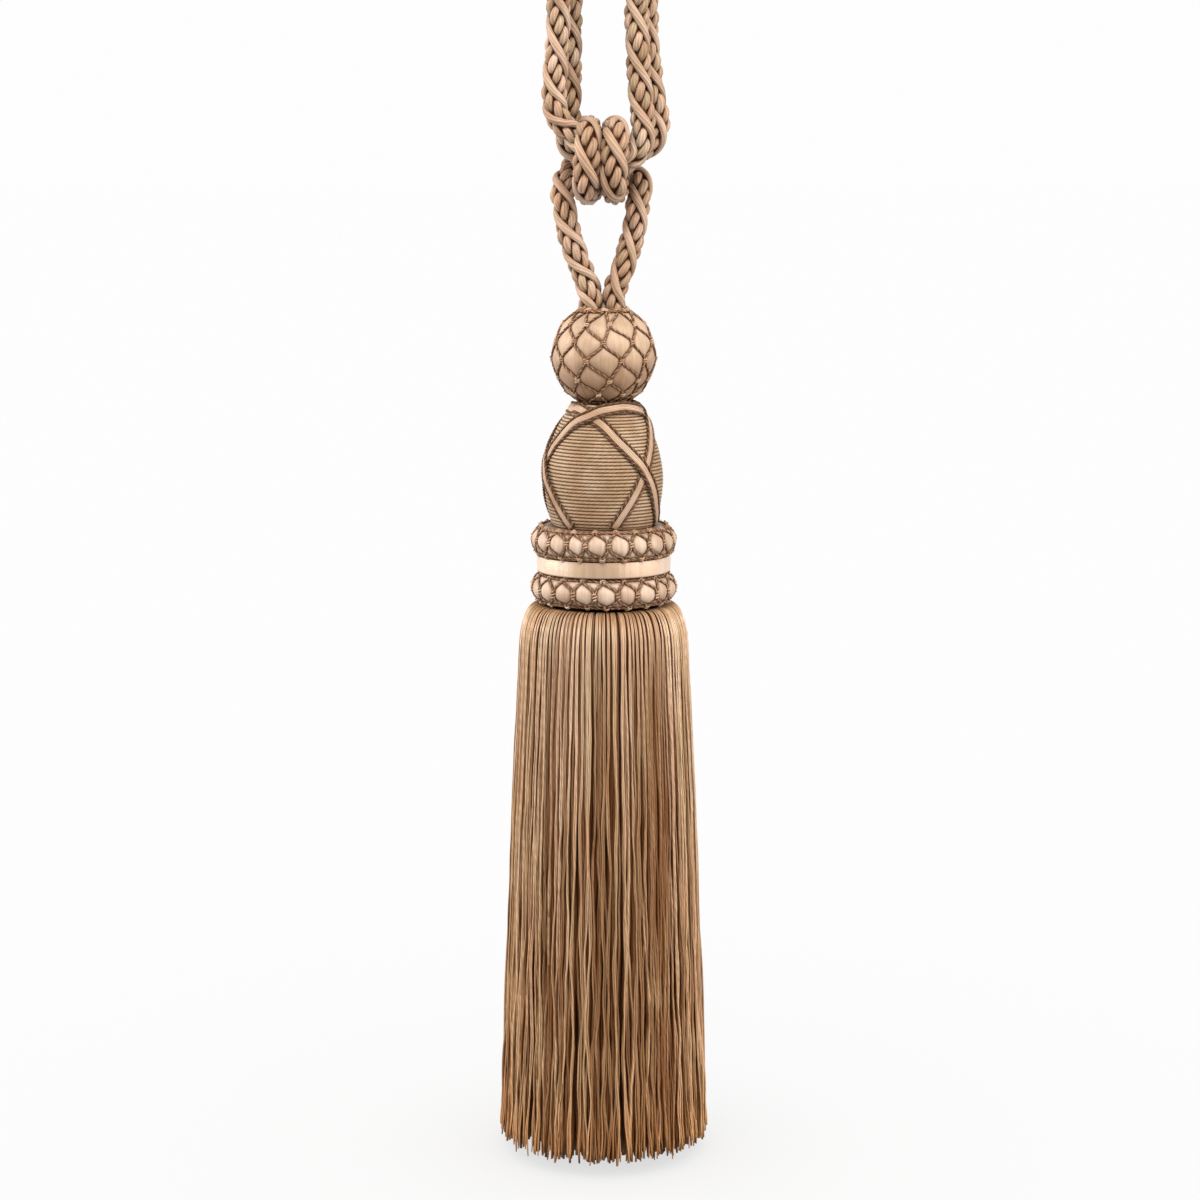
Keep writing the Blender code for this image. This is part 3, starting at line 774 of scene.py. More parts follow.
def surface(tree, colour, painted_shade, rough, relief, sheen_roughness, gloss):
    """Wires up the shader. The colour turns into the painted shade colour where the
    depth attribute is low: in hollows, in creases and beside threads.
    """
    shader = tree.nodes["Principled BSDF"]
    depth = node(tree, "Attribute", attribute_name="depth").outputs["Fac"]
    # Painted shade: the colour is mixed towards the shade colour by the depth attribute.
    colour = mixed(tree, spread(tree, depth, 0.0, 1.0), (*painted_shade, 1), colour)
    tree.links.new(colour, shader.inputs["Base Color"])
    tree.links.new(rough, shader.inputs["Roughness"])
    tree.links.new(node(tree, "Bump", relief).outputs[0], shader.inputs["Normal"])
    shader.inputs["Sheen Weight"].default_value = SHEEN
    shader.inputs["Sheen Roughness"].default_value = sheen_roughness
    shader.inputs["Sheen Tint"].default_value = WARM_GLOSS
    shader.inputs["Specular Tint"].default_value = WARM_GLOSS
    shader.inputs["Specular IOR Level"].default_value = gloss


def yarn(name, tones, painted_shade, lines, slant, length, roughness, bump, contrast=(0.74, 1.14),
         blotch=(90.0, 1.0), levels=None, plain_top=None):
    """A spun material: each strand has its own tone, its fibres show, and shade is
    painted where it lies in the hollows between its neighbours."""
    material = bpy.data.materials.new(name)
    material.use_nodes = True
    tree = material.node_tree
    place = strand_place(tree)
    lines_seen = fibres(tree, place, lines, slant, length)
    stops = [(i / (len(tones) - 1), tone) for i, tone in enumerate(tones)]
    colour = ramp(tree, place[2], *stops)
    if plain_top:
        share = spread(tree, height_of(tree), -0.30, -0.235, 0.0, 0.6)
        colour = mixed(tree, share, colour, (*plain_top, 1))
    tinting = spread(tree, stretched_noise(tree, 170.0, blotch[1]), 0.35, 0.65)
    tinted = mixed(tree, tinting, (1.05, 0.95, 0.93, 1), (0.96, 1.03, 0.98, 1))
    colour = mixed(tree, 0.5, colour, mixed(tree, 1.0, colour, tinted, "MULTIPLY"))
    blotched = spread(tree, stretched_noise(tree, *blotch), 0.3, 0.7, 0.84, 1.12)
    lined = spread(tree, lines_seen, 0.2, 0.85, *contrast)
    colour = shaded(tree, colour, maths(tree, "MULTIPLY", blotched, lined))
    # Painted light and shade by height on the skirt's yarn.
    if levels:
        colour = lowered(tree, colour, levels)
    rough = spread(tree, lines_seen, 0.2, 0.9, roughness + 0.1, roughness - 0.08)
    relief = {"Height": lines_seen, "Strength": bump, "Distance": 0.0004}
    surface(tree, colour, painted_shade, rough, relief, 0.4, YARN_GLOSS)
    return material


def satin(name, light, shadow, lines, roughness, gloss, along_axis=True, sides=None, levels=None):
    """Satin: fine even threads, soft blotches of painted light and shade, and a painted shadow where a
    thread presses in.
    """
    material = bpy.data.materials.new(name)
    material.use_nodes = True
    tree = material.node_tree
    turn, along, tone = strand_place(tree)
    run, across = (turn, along) if along_axis else (along, turn)
    wave = maths(tree, "SINE", maths(tree, "MULTIPLY", run, TURN * lines))
    inputs = {
        0: maths(tree, "MULTIPLY", run, lines * 0.45),
        1: maths(tree, "MULTIPLY", across, 0.12),
        2: tone,
    }
    stretched = node(tree, "CombineXYZ", inputs).outputs[0]
    noise = node(tree, "TexNoise", {"Vector": stretched, "Scale": 1.0, "Detail": 3.0}).outputs["Fac"]
    threads = maths(tree, "ADD", maths(tree, "MULTIPLY", wave, 0.12), noise)
    blotches = stretched_noise(tree, 110.0, 1.0)
    # Painted light and shade: the lit and the shaded colour mixed in soft blotches.
    colour = mixed(tree, spread(tree, blotches, 0.35, 0.65), (*shadow, 1), (*light, 1))
    colour = shaded(tree, colour, spread(tree, threads, 0.2, 0.8, 0.88, 1.08))
    # Painted sheen round the ribbon.
    if sides:
        colour = mixed(tree, 1.0, colour, ramp(tree, along, *sides), "MULTIPLY")
    # Painted shade by height on the ball's satin.
    if levels:
        colour = lowered(tree, colour, levels)
    rough = spread(tree, threads, 0.2, 0.9, roughness + 0.08, roughness - 0.06)
    relief = {"Height": threads, "Strength": 0.3, "Distance": 0.0003}
    surface(tree, colour, SATIN_PAINTED_SHADE, rough, relief, 0.35, gloss)
    return material


# --- ropes ------------------------------------------------------------------------


def eye_route(x, towards_front):
    """Points over one eye, from its rear side to its front or back again."""
    points = []
    for degrees in (-12, 18, 54, 90, 126, 162, 192):
        angle = math.radians(degrees)
        points.append((x, EYE_RADIUS * math.cos(angle), EYE_CENTRE + EYE_RADIUS * math.sin(angle)))
    return points if towards_front else points[::-1]


def embrace_route():
    """From inside the knot, round both arms and back into the knot."""
    return (
        *RIGHT_REAR_ROPE,
        *eye_route(RIGHT_EYE_X, True),
        *RIGHT_FRONT_ROPE,
        *LEFT_FRONT_ROPE,
        *eye_route(LEFT_EYE_X, False),
        *LEFT_REAR_ROPE,
    )


def knot_point(turns):
    """The tassel rope's middle after this many turns. A whole turn is at the front."""
    angle = TURN * turns
    drift = KNOT_PITCH * turns - KNOT_BACK_SLANT * math.sin(angle) / TURN
    x = KNOT_FIRST_TURN_X + drift + KNOT_BACK_SHIFT * (1 - math.cos(angle))
    power = 2 / KNOT_SQUARENESS
    forward = math.copysign(abs(math.cos(angle)) ** power, math.cos(angle))
    down = math.copysign(abs(math.sin(angle)) ** power, math.sin(angle))
    return (x, -KNOT_HALF_DEPTH * forward, KNOT_HEIGHT - KNOT_HALF_HEIGHT * down)


def tassel_route():
    """Up the left leg, round the knot and down the right leg."""
    count = round((KNOT_END_TURN - KNOT_START_TURN) * KNOT_STEPS_A_TURN)
    turns = np.linspace(KNOT_START_TURN, KNOT_END_TURN, count + 1)
    return (*LEFT_LEG, *[knot_point(t) for t in turns], *RIGHT_LEG)


def lay_angles(path, frames, along, lay, gimp_places):
    """How far the plies have turned at each point, so that a gimp faces the front at
    each of the given places and the lay is even between them."""
    sides, ups = frames
    at, angles = [], []
    nearest = sorted(int(np.argmin(np.linalg.norm(path - place, axis=1))) for place in gimp_places)
    for i in nearest:
        angle = math.atan2(-ups[i, 1], -sides[i, 1]) - math.pi / 2
        if at:
            expected = angles[-1] - TURN * (along[i] - at[-1]) / lay
            angle += math.pi * round((expected - angle) / math.pi)
        at.append(along[i])
        angles.append(angle)
    at = [0.0, *at, along[-1]]
    first = angles[0] + TURN * at[1] / lay
    last = angles[-1] - TURN * (at[-1] - at[-2]) / lay
    return np.interp(along, at, [first, *angles, last])


def flattened(grid, path):
    """The rope's points, spread sideways where it lies over the front of the knot."""
    front = np.clip((-path[:, 1] - 9.0) / 4.0, 0, 1)
    wider = np.stack((1 + KNOT_FLATTENING * front, np.ones_like(front), np.ones_like(front)), axis=1)
    return path[:, None] + (grid - path[:, None]) * wider[:, None]


def rope_depth(grid, path):
    """How far out of the rope's valleys each point lies, from 0 to 1. The valleys get
    painted shade from it.
    """
    out = np.linalg.norm(grid - path[:, None], axis=-1)
    return np.clip((out - 2.75) / 0.95, 0, 1)


def add_ply(piece, path, ply_path, along, ply, chance):
    """The twisted strands of one ply."""
    ply_frames = frames_along(ply_path)
    for strand in range(STRANDS_A_PLY):
        wobble = 1 + 0.05 * np.sin(along / chance.uniform(7, 12) + chance.uniform(0, TURN))
        twist = TURN * along / STRAND_PITCH + TURN * strand / STRANDS_A_PLY + 1.3 * ply
        strand_path = around(ply_path, ply_frames, STRAND_CENTRE * wobble, twist)
        radius = STRAND_RADIUS * (1 + 0.04 * np.sin(along / 3.1 + chance.uniform(0, TURN)))
        grid = rings_on(strand_path, frames_along(strand_path), radius, radius, STRAND_SIDES)
        off_ply = np.linalg.norm(grid - ply_path[:, None], axis=-1)
        # Painted shade in the rope's valleys and in the crease between a ply's strands.
        depth = rope_depth(grid, path) * np.clip((off_ply - 1.2) / 0.7, 0, 1)
        piece.add(flattened(grid, path), along, chance.uniform(0, 0.8), depth)


def add_gimp(piece, path, frames, along, turned, ply):
    """The smooth flat cord in the groove beside a ply."""
    gimp_path = around(path, frames, GIMP_CENTRE + 0.12 * np.sin(along / 9 + ply), turned)
    tangent = unit(np.gradient(gimp_path, axis=0))
    across = unit(np.cross(unit(gimp_path - path), tangent))
    outward = np.cross(tangent, across)
    width = GIMP_HALF_WIDTH * (1 + 0.05 * np.sin(along / 4.7 + ply))
    grid = rings_on(gimp_path, (across, outward), width, width * 0 + GIMP_HALF_DEPTH, GIMP_SIDES)
    # Painted shade where the gimp sinks into the rope's valleys.
    depth = rope_depth(grid, path)
    piece.add(flattened(grid, path), along * GIMP_STRETCH, 0.9 + 0.1 * ply, depth)


def rope(name, route, lay, gimp_places, material, node_name, seed):
    """A laid rope along the route."""
    chance = np.random.default_rng(seed)
    path = smooth_route(route, ROPE_STEP)
    frames = frames_along(path)
    along = lengths_along(path)
    turned = lay_angles(path, frames, along, lay, gimp_places)
    piece = Piece()
    for ply in range(2):
        ply_path = around(path, frames, PLY_CENTRE, turned + math.pi * ply)
        add_ply(piece, path, ply_path, along, ply, chance)
        add_gimp(piece, path, frames, along, turned + math.pi * ply + math.pi / 2, ply)
    # A core inside the plies, all in the painted shade colour, so that no light shows between them.
    core = rings_on(path, frames, np.full(len(path), ROPE_CORE), np.full(len(path), ROPE_CORE), 8)
    piece.add(core, along, 0.0, 0.0)
    made = piece.finish(name, material, "twisted_cord", node_name)
    return made


# --- nets and what they cover -----------------------------------------------------


class Net:
    """A knotted net on a ring or a ball. A place is (column, row)."""

    def __init__(self, ring, angles, columns, seed, thread, lift, links, beside, rim, rounded,
                 shifts=None, row_shifts=None):
        self.centre_radius, self.height, self.radius = ring
        self.angles = angles
        self.columns = columns
        self.thread = thread
        self.lift = lift
        self.links = links
        self.beside = beside
        self.rim = rim
        self.rounded = rounded
        self.last = len(angles) - 1
        self.row_shifts = row_shifts or [0.0] * len(angles)
        self.chance = np.random.default_rng(seed)
        placed = dict(shifts or {})
        self.shifts = {(c % (2 * columns), row): (shift, 0.0) for (c, row), shift in placed.items()}

    def place(self, column, row, lift=0.0):
        """Points at these columns and rows, this far off the thread's middle."""
        tilt = np.radians(np.interp(row, range(self.last + 1), self.angles))
        slopes = np.radians(np.diff(self.angles))
        tilt = tilt + np.where(row < 0, row * slopes[0], 0.0)
        tilt = tilt + np.where(row > self.last, (row - self.last) * slopes[-1], 0.0)
        out = self.radius + self.lift + lift
        radius = self.centre_radius + out * np.cos(tilt)
        return on_circle(radius, 180 * column / self.columns, self.height + out * np.sin(tilt))

    def knot(self, column, row):
        """A knot's uneven place."""
        key = (column % (2 * self.columns), row)
        if key not in self.shifts:
            uneven = self.chance.uniform(-1, 1, 2) * (0.16, 0.05)
            self.shifts[key] = uneven + (self.row_shifts[row], 0.0)
        shift = self.shifts[key]
        return column + shift[0], row + shift[1]

    def knots(self):
        """Each knot's uneven place and the number of its row."""
        found = []
        for row in range(self.last + 1):
            found += [(*self.knot(c, row), row) for c in range(row % 2, 2 * self.columns, 2)]
        return found

    def column_width(self, row):
        """The distance between two columns on this row."""
        tilt = math.radians(np.interp(row, range(self.last + 1), self.angles))
        return (self.centre_radius + self.radius * math.cos(tilt)) * math.pi / self.columns

    def strands(self):
        """Paths of the threads, as one (strand, row, 3) array. Two threads lie side by
        side through each knot, then part towards the next two knots."""
        t = np.linspace(0, 1, THREAD_ROWS)
        paths = []
        for row in range(self.last):
            drop = self.radius * math.radians(abs(self.angles[row] - self.angles[row + 1]))
            start_link, end_link = (self.links[r] / 2 / drop for r in (row, row + 1))
            share = np.clip((t - start_link) / (1 - start_link - end_link), 0, 1)
            ease = 0.5 * share + 0.5 * share * share * (3 - 2 * share)
            curved = 1 - (1 - share) ** 2 if row == 0 else share**2
            ease = ease + self.rounded * (curved - ease)
            for column in range(row % 2, 2 * self.columns, 2):
                for step in (-1, 1):
                    start = self.knot(column, row)
                    end = self.knot(column + step, row + 1)
                    first = start[0] + step * self.beside / self.column_width(row)
                    final = end[0] - step * self.beside / self.column_width(row + 1)
                    rows = start[1] + (end[1] - start[1]) * t
                    rows = rows + self.chance.uniform(-0.03, 0.03) * np.sin(math.pi * t)
                    paths.append(self.place(first + (final - first) * ease, rows))
        for row in (0, self.last):
            step = self.radius * math.radians(abs(self.angles[1] - self.angles[0]))
            for column in range(row % 2, 2 * self.columns, 2):
                start, end = self.knot(column, row), self.knot(column + 2, row)
                for beside in self.rim:
                    bow = beside * self.beside / step * np.sin(math.pi * t) ** 0.4
                    rows = start[1] + (end[1] - start[1]) * t + bow
                    paths.append(self.place(start[0] + (end[0] - start[0]) * t, rows))
        return np.array(paths)

    def weave(self, name, material, node_name):
        """The net's own piece: twisted threads and small wrapped knots."""
        piece = Piece()
        self.threads = self.strands()
        self.twist(piece, self.threads)
        coils = self.wrapped_knots()
        thickness = np.full(coils.shape[:2], self.thread * 0.72)
        grids = rings_on(coils, frames_along(coils), thickness, thickness, THREAD_SIDES)
        piece.add(grids, lengths_along(coils), self.chance.uniform(0.55, 1.0, len(coils)))
        return piece.finish(name, material, "net_thread", node_name)

    def twist(self, piece, paths):
        """Adds threads of two plies."""
        frames = frames_along(paths)
        along = lengths_along(paths)
        start = self.chance.uniform(0, TURN, len(paths))[:, None]
        for ply in range(2):
            angle = start + TURN * along / (self.thread * 6) + math.pi * ply
            ply_paths = around(paths, frames, self.thread * 0.44, angle)
            radius = np.full(along.shape, self.thread * 0.58)
            grids = rings_on(ply_paths, frames_along(ply_paths), radius, radius, THREAD_SIDES)
            out = np.linalg.norm(grids - paths[:, :, None], axis=-1)
            # Painted shade on each ply's inner side, where the two plies meet.
            depth = np.clip(out / self.thread - 0.1, 0, 1)
            piece.add(grids, along, self.chance.uniform(0.0, 0.25, len(paths)) + 0.5 * ply, depth)

    def wrapped_knots(self):
        """A short coil of thread round each knot."""
        turn = np.linspace(0, KNOT_TURNS * TURN, KNOT_ROWS)
        paths = []
        for column, row, number in self.knots():
            middle = self.place(np.array(column), np.array(row))
            above = self.place(np.array(column), np.array(row - 0.01))
            below = self.place(np.array(column), np.array(row + 0.01))
            down = unit(below - above)
            outward = unit(self.place(np.array(column), np.array(row), 1.0) - middle)
            side = np.cross(outward, down)
            phase = self.chance.uniform(0, TURN)
            lean = self.chance.uniform(-0.3, 0.3)
            wide = RIM_COIL if number in (0, self.last) else COIL
            coil = self.thread * (wide + 0.2 * np.sin(turn * 1.3 + phase))[:, None]
            run = (turn / turn[-1] - 0.5)[:, None] * (self.links[number] * 0.75 + self.thread)
            across = np.cos(turn + phase)[:, None] * coil * 1.2
            out = np.sin(turn + phase)[:, None] * coil * 0.9
            paths.append(middle + (down + lean * side) * run + side * across + outward * out)
        return np.array(paths)


def pressed(grid, outward, net, reach, rise, shadow=0.6):
    """A surface that swells between threads. Returns its points and how far each is
    from being pressed in, from 0 to 1, over this width of painted shadow beside the threads."""
    points = net.threads.reshape(-1, 3)
    tree = kdtree.KDTree(len(points))
    for i, point in enumerate(points):
        tree.insert(point, i)
    tree.balance()
    flat = grid.reshape(-1, 3)
    distance = np.array([tree.find(point)[2] for point in flat]).reshape(grid.shape[:-1])
    share = np.clip((distance - net.thread) / reach, 0, 1)
    moved = grid + outward * (rise * share * (2 - share))[..., None]
    return moved, np.clip((distance - net.thread - 0.05) / shadow, 0, 1)


def satin_ball(material, net):
    """The satin ball, swelling through its net and dished under the ropes, with a painted
    shadow beside its threads and painted shade in the dish and below the net.
    """
    degrees_up = np.linspace(BALL_POLE, -BALL_POLE, BALL_ROWS)[:, None]
    tilt = np.radians(degrees_up)
    degrees = np.arange(BALL_SIDES)[None] * 360 / BALL_SIDES
    outward = on_circle(np.cos(tilt), degrees, np.sin(tilt))
    dish = BALL_DISH * np.clip((degrees_up - net.angles[0] - 1) / 20, 0, 1) ** 0.6
    grid = outward * (BALL_RADIUS + 0.1) + (0, 0, BALL_HEIGHT)
    grid = grid - dish[..., None] * outward
    moved, depth = pressed(grid, outward, net, 2.6, 0.62)
    # Painted shade: the satin turns dark in the dish under the ropes and below the net's last row.
    depth = depth * np.clip(1 - dish, 0, 1) * np.clip(1 - (net.angles[-1] - degrees_up) / 9, 0, 1)
    piece = Piece()
    piece.add(moved[:, ::-1], np.arange(BALL_ROWS) * 0.5, 0.5, depth[:, ::-1])
    return piece.finish("satin_ball", material, "satin_cover", "ball")


def satin_ring(name, material, net, node_name):
    """A satin ring, swelling through its net, with a painted shadow beside its threads and
    painted shade on the satin past the net.
    """
    tilt = TURN * np.arange(RING_SIDES) / RING_SIDES
    degrees = np.arange(361)
    radius = net.centre_radius + net.radius * np.cos(tilt)
    height = net.height + net.radius * np.sin(tilt)
    grid = np.array([on_circle(radius, turn, height) for turn in degrees])
    outward = np.array([on_circle(np.cos(tilt), turn, np.sin(tilt)) for turn in degrees])
    degrees_up = (np.degrees(tilt) + 180) % 360 - 180
    beyond = np.maximum(degrees_up - net.angles[0], net.angles[-1] - degrees_up)
    netted = np.clip(1 - beyond / 9, 0, 1)
    moved, depth = pressed(grid, outward, net, 2.0, 0.85 * netted, 0.95)
    # Painted shade on the satin past the net's first and last rows.
    depth = depth * (0.35 + 0.65 * netted)
    piece = Piece()
    piece.add(moved[:, ::-1], degrees / 360, 0.5, depth[:, ::-1], capped=False)
    return piece.finish(name, material, "satin_cover", node_name)


def satin_band(material):
    """The plain ribbon in the groove between the rings."""
    outline = []
    for i in range(13):
        share = i / 12
        height = BAND_HEIGHT + BAND_HALF_HEIGHT * (1 - 2 * share)
        outline.append((BAND_RADIUS + 0.15 * math.sin(math.pi * share), height))
    outline += [(20.6, BAND_HEIGHT - 1.6), (20.6, BAND_HEIGHT + 1.6)]
    radius, height = np.array(outline).T
    degrees = np.arange(241) * 1.5
    grid = np.array([on_circle(radius, turn, height) for turn in degrees])
    piece = Piece()
    piece.add(grid, degrees / 360, 0.5, capped=False)
    return piece.finish("ribbon_band", material, "satin_cover", "satin_band")


# --- body and straps --------------------------------------------------------------


def body_radius(height):
    """The wound body's radius at this height, on its outer profile."""
    radii, heights = zip(*BODY_PROFILE[3:-1])
    return np.interp(-height, [-z for z in heights], radii)


def winding(material):
    """Close turns of cord from the neck to the foot of the body."""
    profile = np.array([(r, 0.0, z) for r, z in BODY_PROFILE])
    profile = even_steps(smooth_route(profile, 0.3), 0.3)
    length = lengths_along(profile)
    turns = length[-1] / WINDING_PITCH
    at = np.linspace(0, length[-1], round(turns * WINDING_STEPS_A_TURN))
    radius = np.interp(at, length, profile[:, 0])
    height = np.interp(at, length, profile[:, 2])
    slope = unit(np.gradient(np.stack((radius, height), axis=1), axis=0))
    out_radius, out_height = -slope[:, 1], slope[:, 0]
    degrees = 360 * at / WINDING_PITCH + WINDING_START
    inset = WINDING_HALF_DEPTH
    path = on_circle(radius - out_radius * inset, degrees, height - out_height * inset)
    outward = unit(on_circle(out_radius, degrees, out_height))
    tangent = unit(np.gradient(path, axis=0))
    across = unit(np.cross(outward, tangent))
    outward = np.cross(tangent, across)
    wobble = 1 + 0.06 * np.sin(at * 5.3) * np.sin(degrees * 0.019)
    width = WINDING_HALF_WIDTH + 0 * at
    start = TURN / 4
    grid = rings_on(path, (across, outward), width, WINDING_HALF_DEPTH * wobble, WINDING_SIDES, start)
    # Painted shade: each turn is dark at its sides, in the grooves between turns.
    out = np.sin(start + TURN * np.arange(WINDING_SIDES) / WINDING_SIDES)
    depth = np.broadcast_to(np.clip((out - 0.25) / 0.75, 0, 1), grid.shape[:2])
    piece = Piece()
    piece.add(grid, lengths_along(path), 0.5, depth)
    # The core, all in the painted shade colour.
    degrees = np.arange(WINDING_CORE_SIDES) * 360 / WINDING_CORE_SIDES
    core = even_steps(profile, WINDING_CORE_STEP)
    core = np.array([on_circle(r - WINDING_CORE_INSET, degrees, z) for r, _, z in core])
    piece.add(core[::-1], 0.0, 0.5, 0.0, capped=False)
    return piece.finish("body_winding", material, "wound_cord", "wound_body")


def strap_course(course, tightness):
    """The strap's middle, which way is across it and out of the body, and how far it
    lies off the body."""
    points = [on_circle(body_radius(z), a, z) for a, z, _ in course]
    path = smooth_route(points, STRAP_STEP)
    nearest = [int(np.argmin(np.linalg.norm(path - point, axis=1))) for point in points]
    lift = np.interp(np.arange(len(path)), nearest, [lifted for _, _, lifted in course])
    lift = np.convolve(np.pad(lift, 5, "edge"), np.ones(11) / 11, "valid")
    lift -= tightness * np.clip((path[:, 2] + 168.0) / 3, 0, 1)
    slope = (body_radius(path[:, 2] + 1) - body_radius(path[:, 2] - 1)) / 2
    outward = unit(path * (1, 1, 0))
    outward[:, 2] = -slope
    outward = unit(outward)
    tangent = unit(np.gradient(path, axis=0))
    across = unit(np.cross(tangent, outward))
    return path, across, np.cross(across, tangent), lift


def strap(name, course, turn, tightness, material, node_name, seed):
    """One flat gimp with a twisted cord along each edge."""
    chance = np.random.default_rng(seed)
    path, across, outward, lift = strap_course(course, tightness)
    cosine, sine = math.cos(math.radians(turn)), math.sin(math.radians(turn))
    placing = np.array(((cosine, -sine, 0), (sine, cosine, 0), (0, 0, 1)))

    def on_body(beside, above):
        """Points this far across the strap and above its middle, laid over the body."""
        points = path[:, None] + across[:, None] * beside[..., None]
        points[..., 2] = np.minimum(points[..., 2], STRAP_TOP)
        reach = np.linalg.norm(points[..., :2], axis=-1)
        points[..., :2] *= (body_radius(points[..., 2]) / reach)[..., None]
        points += outward[:, None] * (lift[:, None] + above)[..., None]
        return points @ placing.T

    along = lengths_along(path)
    turned = (across @ placing.T, outward @ placing.T)
    piece = Piece()
    corner = (TURN * np.arange(12) / 12)[None]
    grid = on_body(STRAP_HALF_WIDTH * np.cos(corner), STRAP_HALF_DEPTH * np.sin(corner))
    # Painted shade on the strap's underside and along its edges.
    depth = np.clip(0.35 + 1.6 * np.sin(corner), 0, 1)
    piece.add(grid, along * GIMP_STRETCH, 1.0, np.broadcast_to(depth, grid.shape[:2]))
    for side in (-1, 1):
        cord_path = on_body(np.array([[side * STRAP_CORD_BESIDE]]), np.array([[0.0]]))[:, 0]
        for ply in range(2):
            twist = side * TURN * along / STRAP_CORD_PITCH + math.pi * ply
            ply_path = around(cord_path, turned, STRAP_CORD_CENTRE, twist)
            radius = np.full(len(path), STRAP_CORD_PLY)
            grid = rings_on(ply_path, frames_along(ply_path), radius, radius, 6)
            # Painted shade where the cord's two plies twist together.
            out = np.linalg.norm(grid - cord_path[:, None], axis=-1)
            depth = np.clip((out - 0.1) / (STRAP_CORD_CENTRE + STRAP_CORD_PLY - 0.15), 0, 1)
            piece.add(grid, along, chance.uniform(0.0, 0.15) + 0.4 * ply, depth)
    return piece.finish(name, material, "strap_gimp", node_name)


# --- skirt ------------------------------------------------------------------------


class Skirt:
    """The curve that the outermost strands follow, and layers of strands inside it."""

    def __init__(self):
        self.curve = smooth_route([(r, 0.0, z) for r, z in SKIRT_OUTSIDE], 0.5)
        self.length = lengths_along(self.curve)
        self.chance = np.random.default_rng(20)
        self.clumps = np.sort(self.chance.uniform(0, 360, SKIRT_CLUMPS))

    def stations(self, rows):
        """Lengths along the curve, closer together round its bend."""
        share = np.linspace(0, 1, rows)
        bend = share / SKIRT_BEND_SHARE * SKIRT_BEND_LENGTH
        rest = (share - SKIRT_BEND_SHARE) / (1 - SKIRT_BEND_SHARE)
        straight = SKIRT_BEND_LENGTH + rest * (self.length[-1] - SKIRT_BEND_LENGTH)
        return np.where(share < SKIRT_BEND_SHARE, bend, straight)

    def columns(self, degrees, down, millimetre, wander):
        """How far round each strand lies, in degrees: lower down it drifts, and leans
        towards the nearest clump."""
        count = len(degrees)
        column = np.broadcast_to(degrees[:, None], (count, len(down))).copy()
        for low, high, size in SKIRT_SWAYS:
            waves = self.chance.uniform(low, high, (count, 1))
            phase = self.chance.uniform(0, TURN, (count, 1))
            sway = np.sin(TURN * waves * down + phase) - np.sin(phase)
            column += sway * size * wander * millimetre * down**0.6
        column += self.chance.normal(0, 0.5, (count, 1)) * millimetre * down**1.5 * wander
        offset = (self.clumps[None] - degrees[:, None] + 180) % 360 - 180
        nearest = offset[np.arange(count), np.abs(offset).argmin(axis=1)]
        column += 0.2 * nearest[:, None] * down**1.4
        return column

    def ripples(self, count, down, wander):
        """How far out of its layer each strand lies, and the phase of its last wave."""
        sunk = 0.9 * (self.chance.uniform(0, 1, (count, 1)) < 0.3)
        in_out = (self.chance.uniform(-0.3, 0.35, (count, 1)) - sunk) * np.minimum(down * 6, 1)
        for low, high, size in SKIRT_RIPPLES:
            waves = self.chance.uniform(low, high, (count, 1))
            phase = self.chance.uniform(0, TURN, (count, 1))
            in_out = in_out + size * wander * np.sin(TURN * waves * down + phase) * down
        return in_out, phase

    def edges(self, rows, at, first, last):
        """How much painted shade each side of a strand gets: its two outer edges are darker, where it
        meets its neighbours.
        """
        light = np.full((rows, SKIRT_SIDES), 1.0)
        top = np.exp(-at / 60)
        outer_edge, inner_edge = 0.62 - 0.24 * top, 0.7 + 0.2 * top
        light[:, 0] = outer_edge if last else inner_edge
        light[:, SKIRT_SIDES // 2] = outer_edge if first else inner_edge
        return light

    def layer(self, piece, count, inset, rows, radius, wander, ends, plies):
        """One layer of strands, this far inside the outermost. Lower down they drift,
        gather into clumps and end unevenly."""
        chance = self.chance
        at = self.stations(rows)
        base_radius = np.interp(at, self.length, self.curve[:, 0])
        base_height = np.interp(at, self.length, self.curve[:, 2])
        down = np.clip((SKIRT_TOP - base_height) / (SKIRT_TOP - SKIRT_END), 0, 1)
        degrees = (np.arange(count) + chance.uniform(-0.3, 0.3, count)) * 360 / count
        millimetre = 57.3 / base_radius
        column = self.columns(degrees, down, millimetre, wander)
        in_out, phase = self.ripples(count, down, wander)
        across, up = self.normal(at)
        dropped = min(inset, 3.0) * up
        tone = chance.uniform(0, 1, count)
        roll = chance.uniform(-4, 4, (count, 1)) * down + 0.7 * np.sin(at / 7 + phase)
        fray = np.clip((down - 0.9) / 0.1, 0, 1) ** 2
        for ply in range(plies):
            parted = (ply - (plies - 1) / 2) * (SKIRT_PLY_GAP + 0.4 * down**2 + 0.5 * fray)
            reach = chance.normal(ends[0], ends[1], (count, 1)).clip(-1.3, 4.6)
            heights = base_height - dropped + reach * down**4
            radii = base_radius - inset * across + in_out + 0.6 * parted * np.sin(roll)
            radii = np.maximum(radii, 0.8)
            paths = on_circle(radii, column + parted * np.cos(roll) * millimetre, heights)
            taper = 1 - 0.35 * (np.arange(rows) == rows - 1)
            narrow = 1 - 0.25 * np.exp(-at / 12)
            thickness = radius * taper * narrow * chance.uniform(0.82, 1.15, (count, 1))
            grids = rings_on(paths, self.frames(paths, column, at), thickness, thickness, SKIRT_SIDES)
            ply_tone = np.clip(tone + chance.uniform(-0.12, 0.12, count), 0, 1)
            light = self.edges(rows, at, ply == 0, ply == plies - 1)
            # Painted shade on strands lying inside the outermost and at strand edges.
            piece.add(grids, lengths_along(paths), ply_tone, self.depth(grids, at) * light)

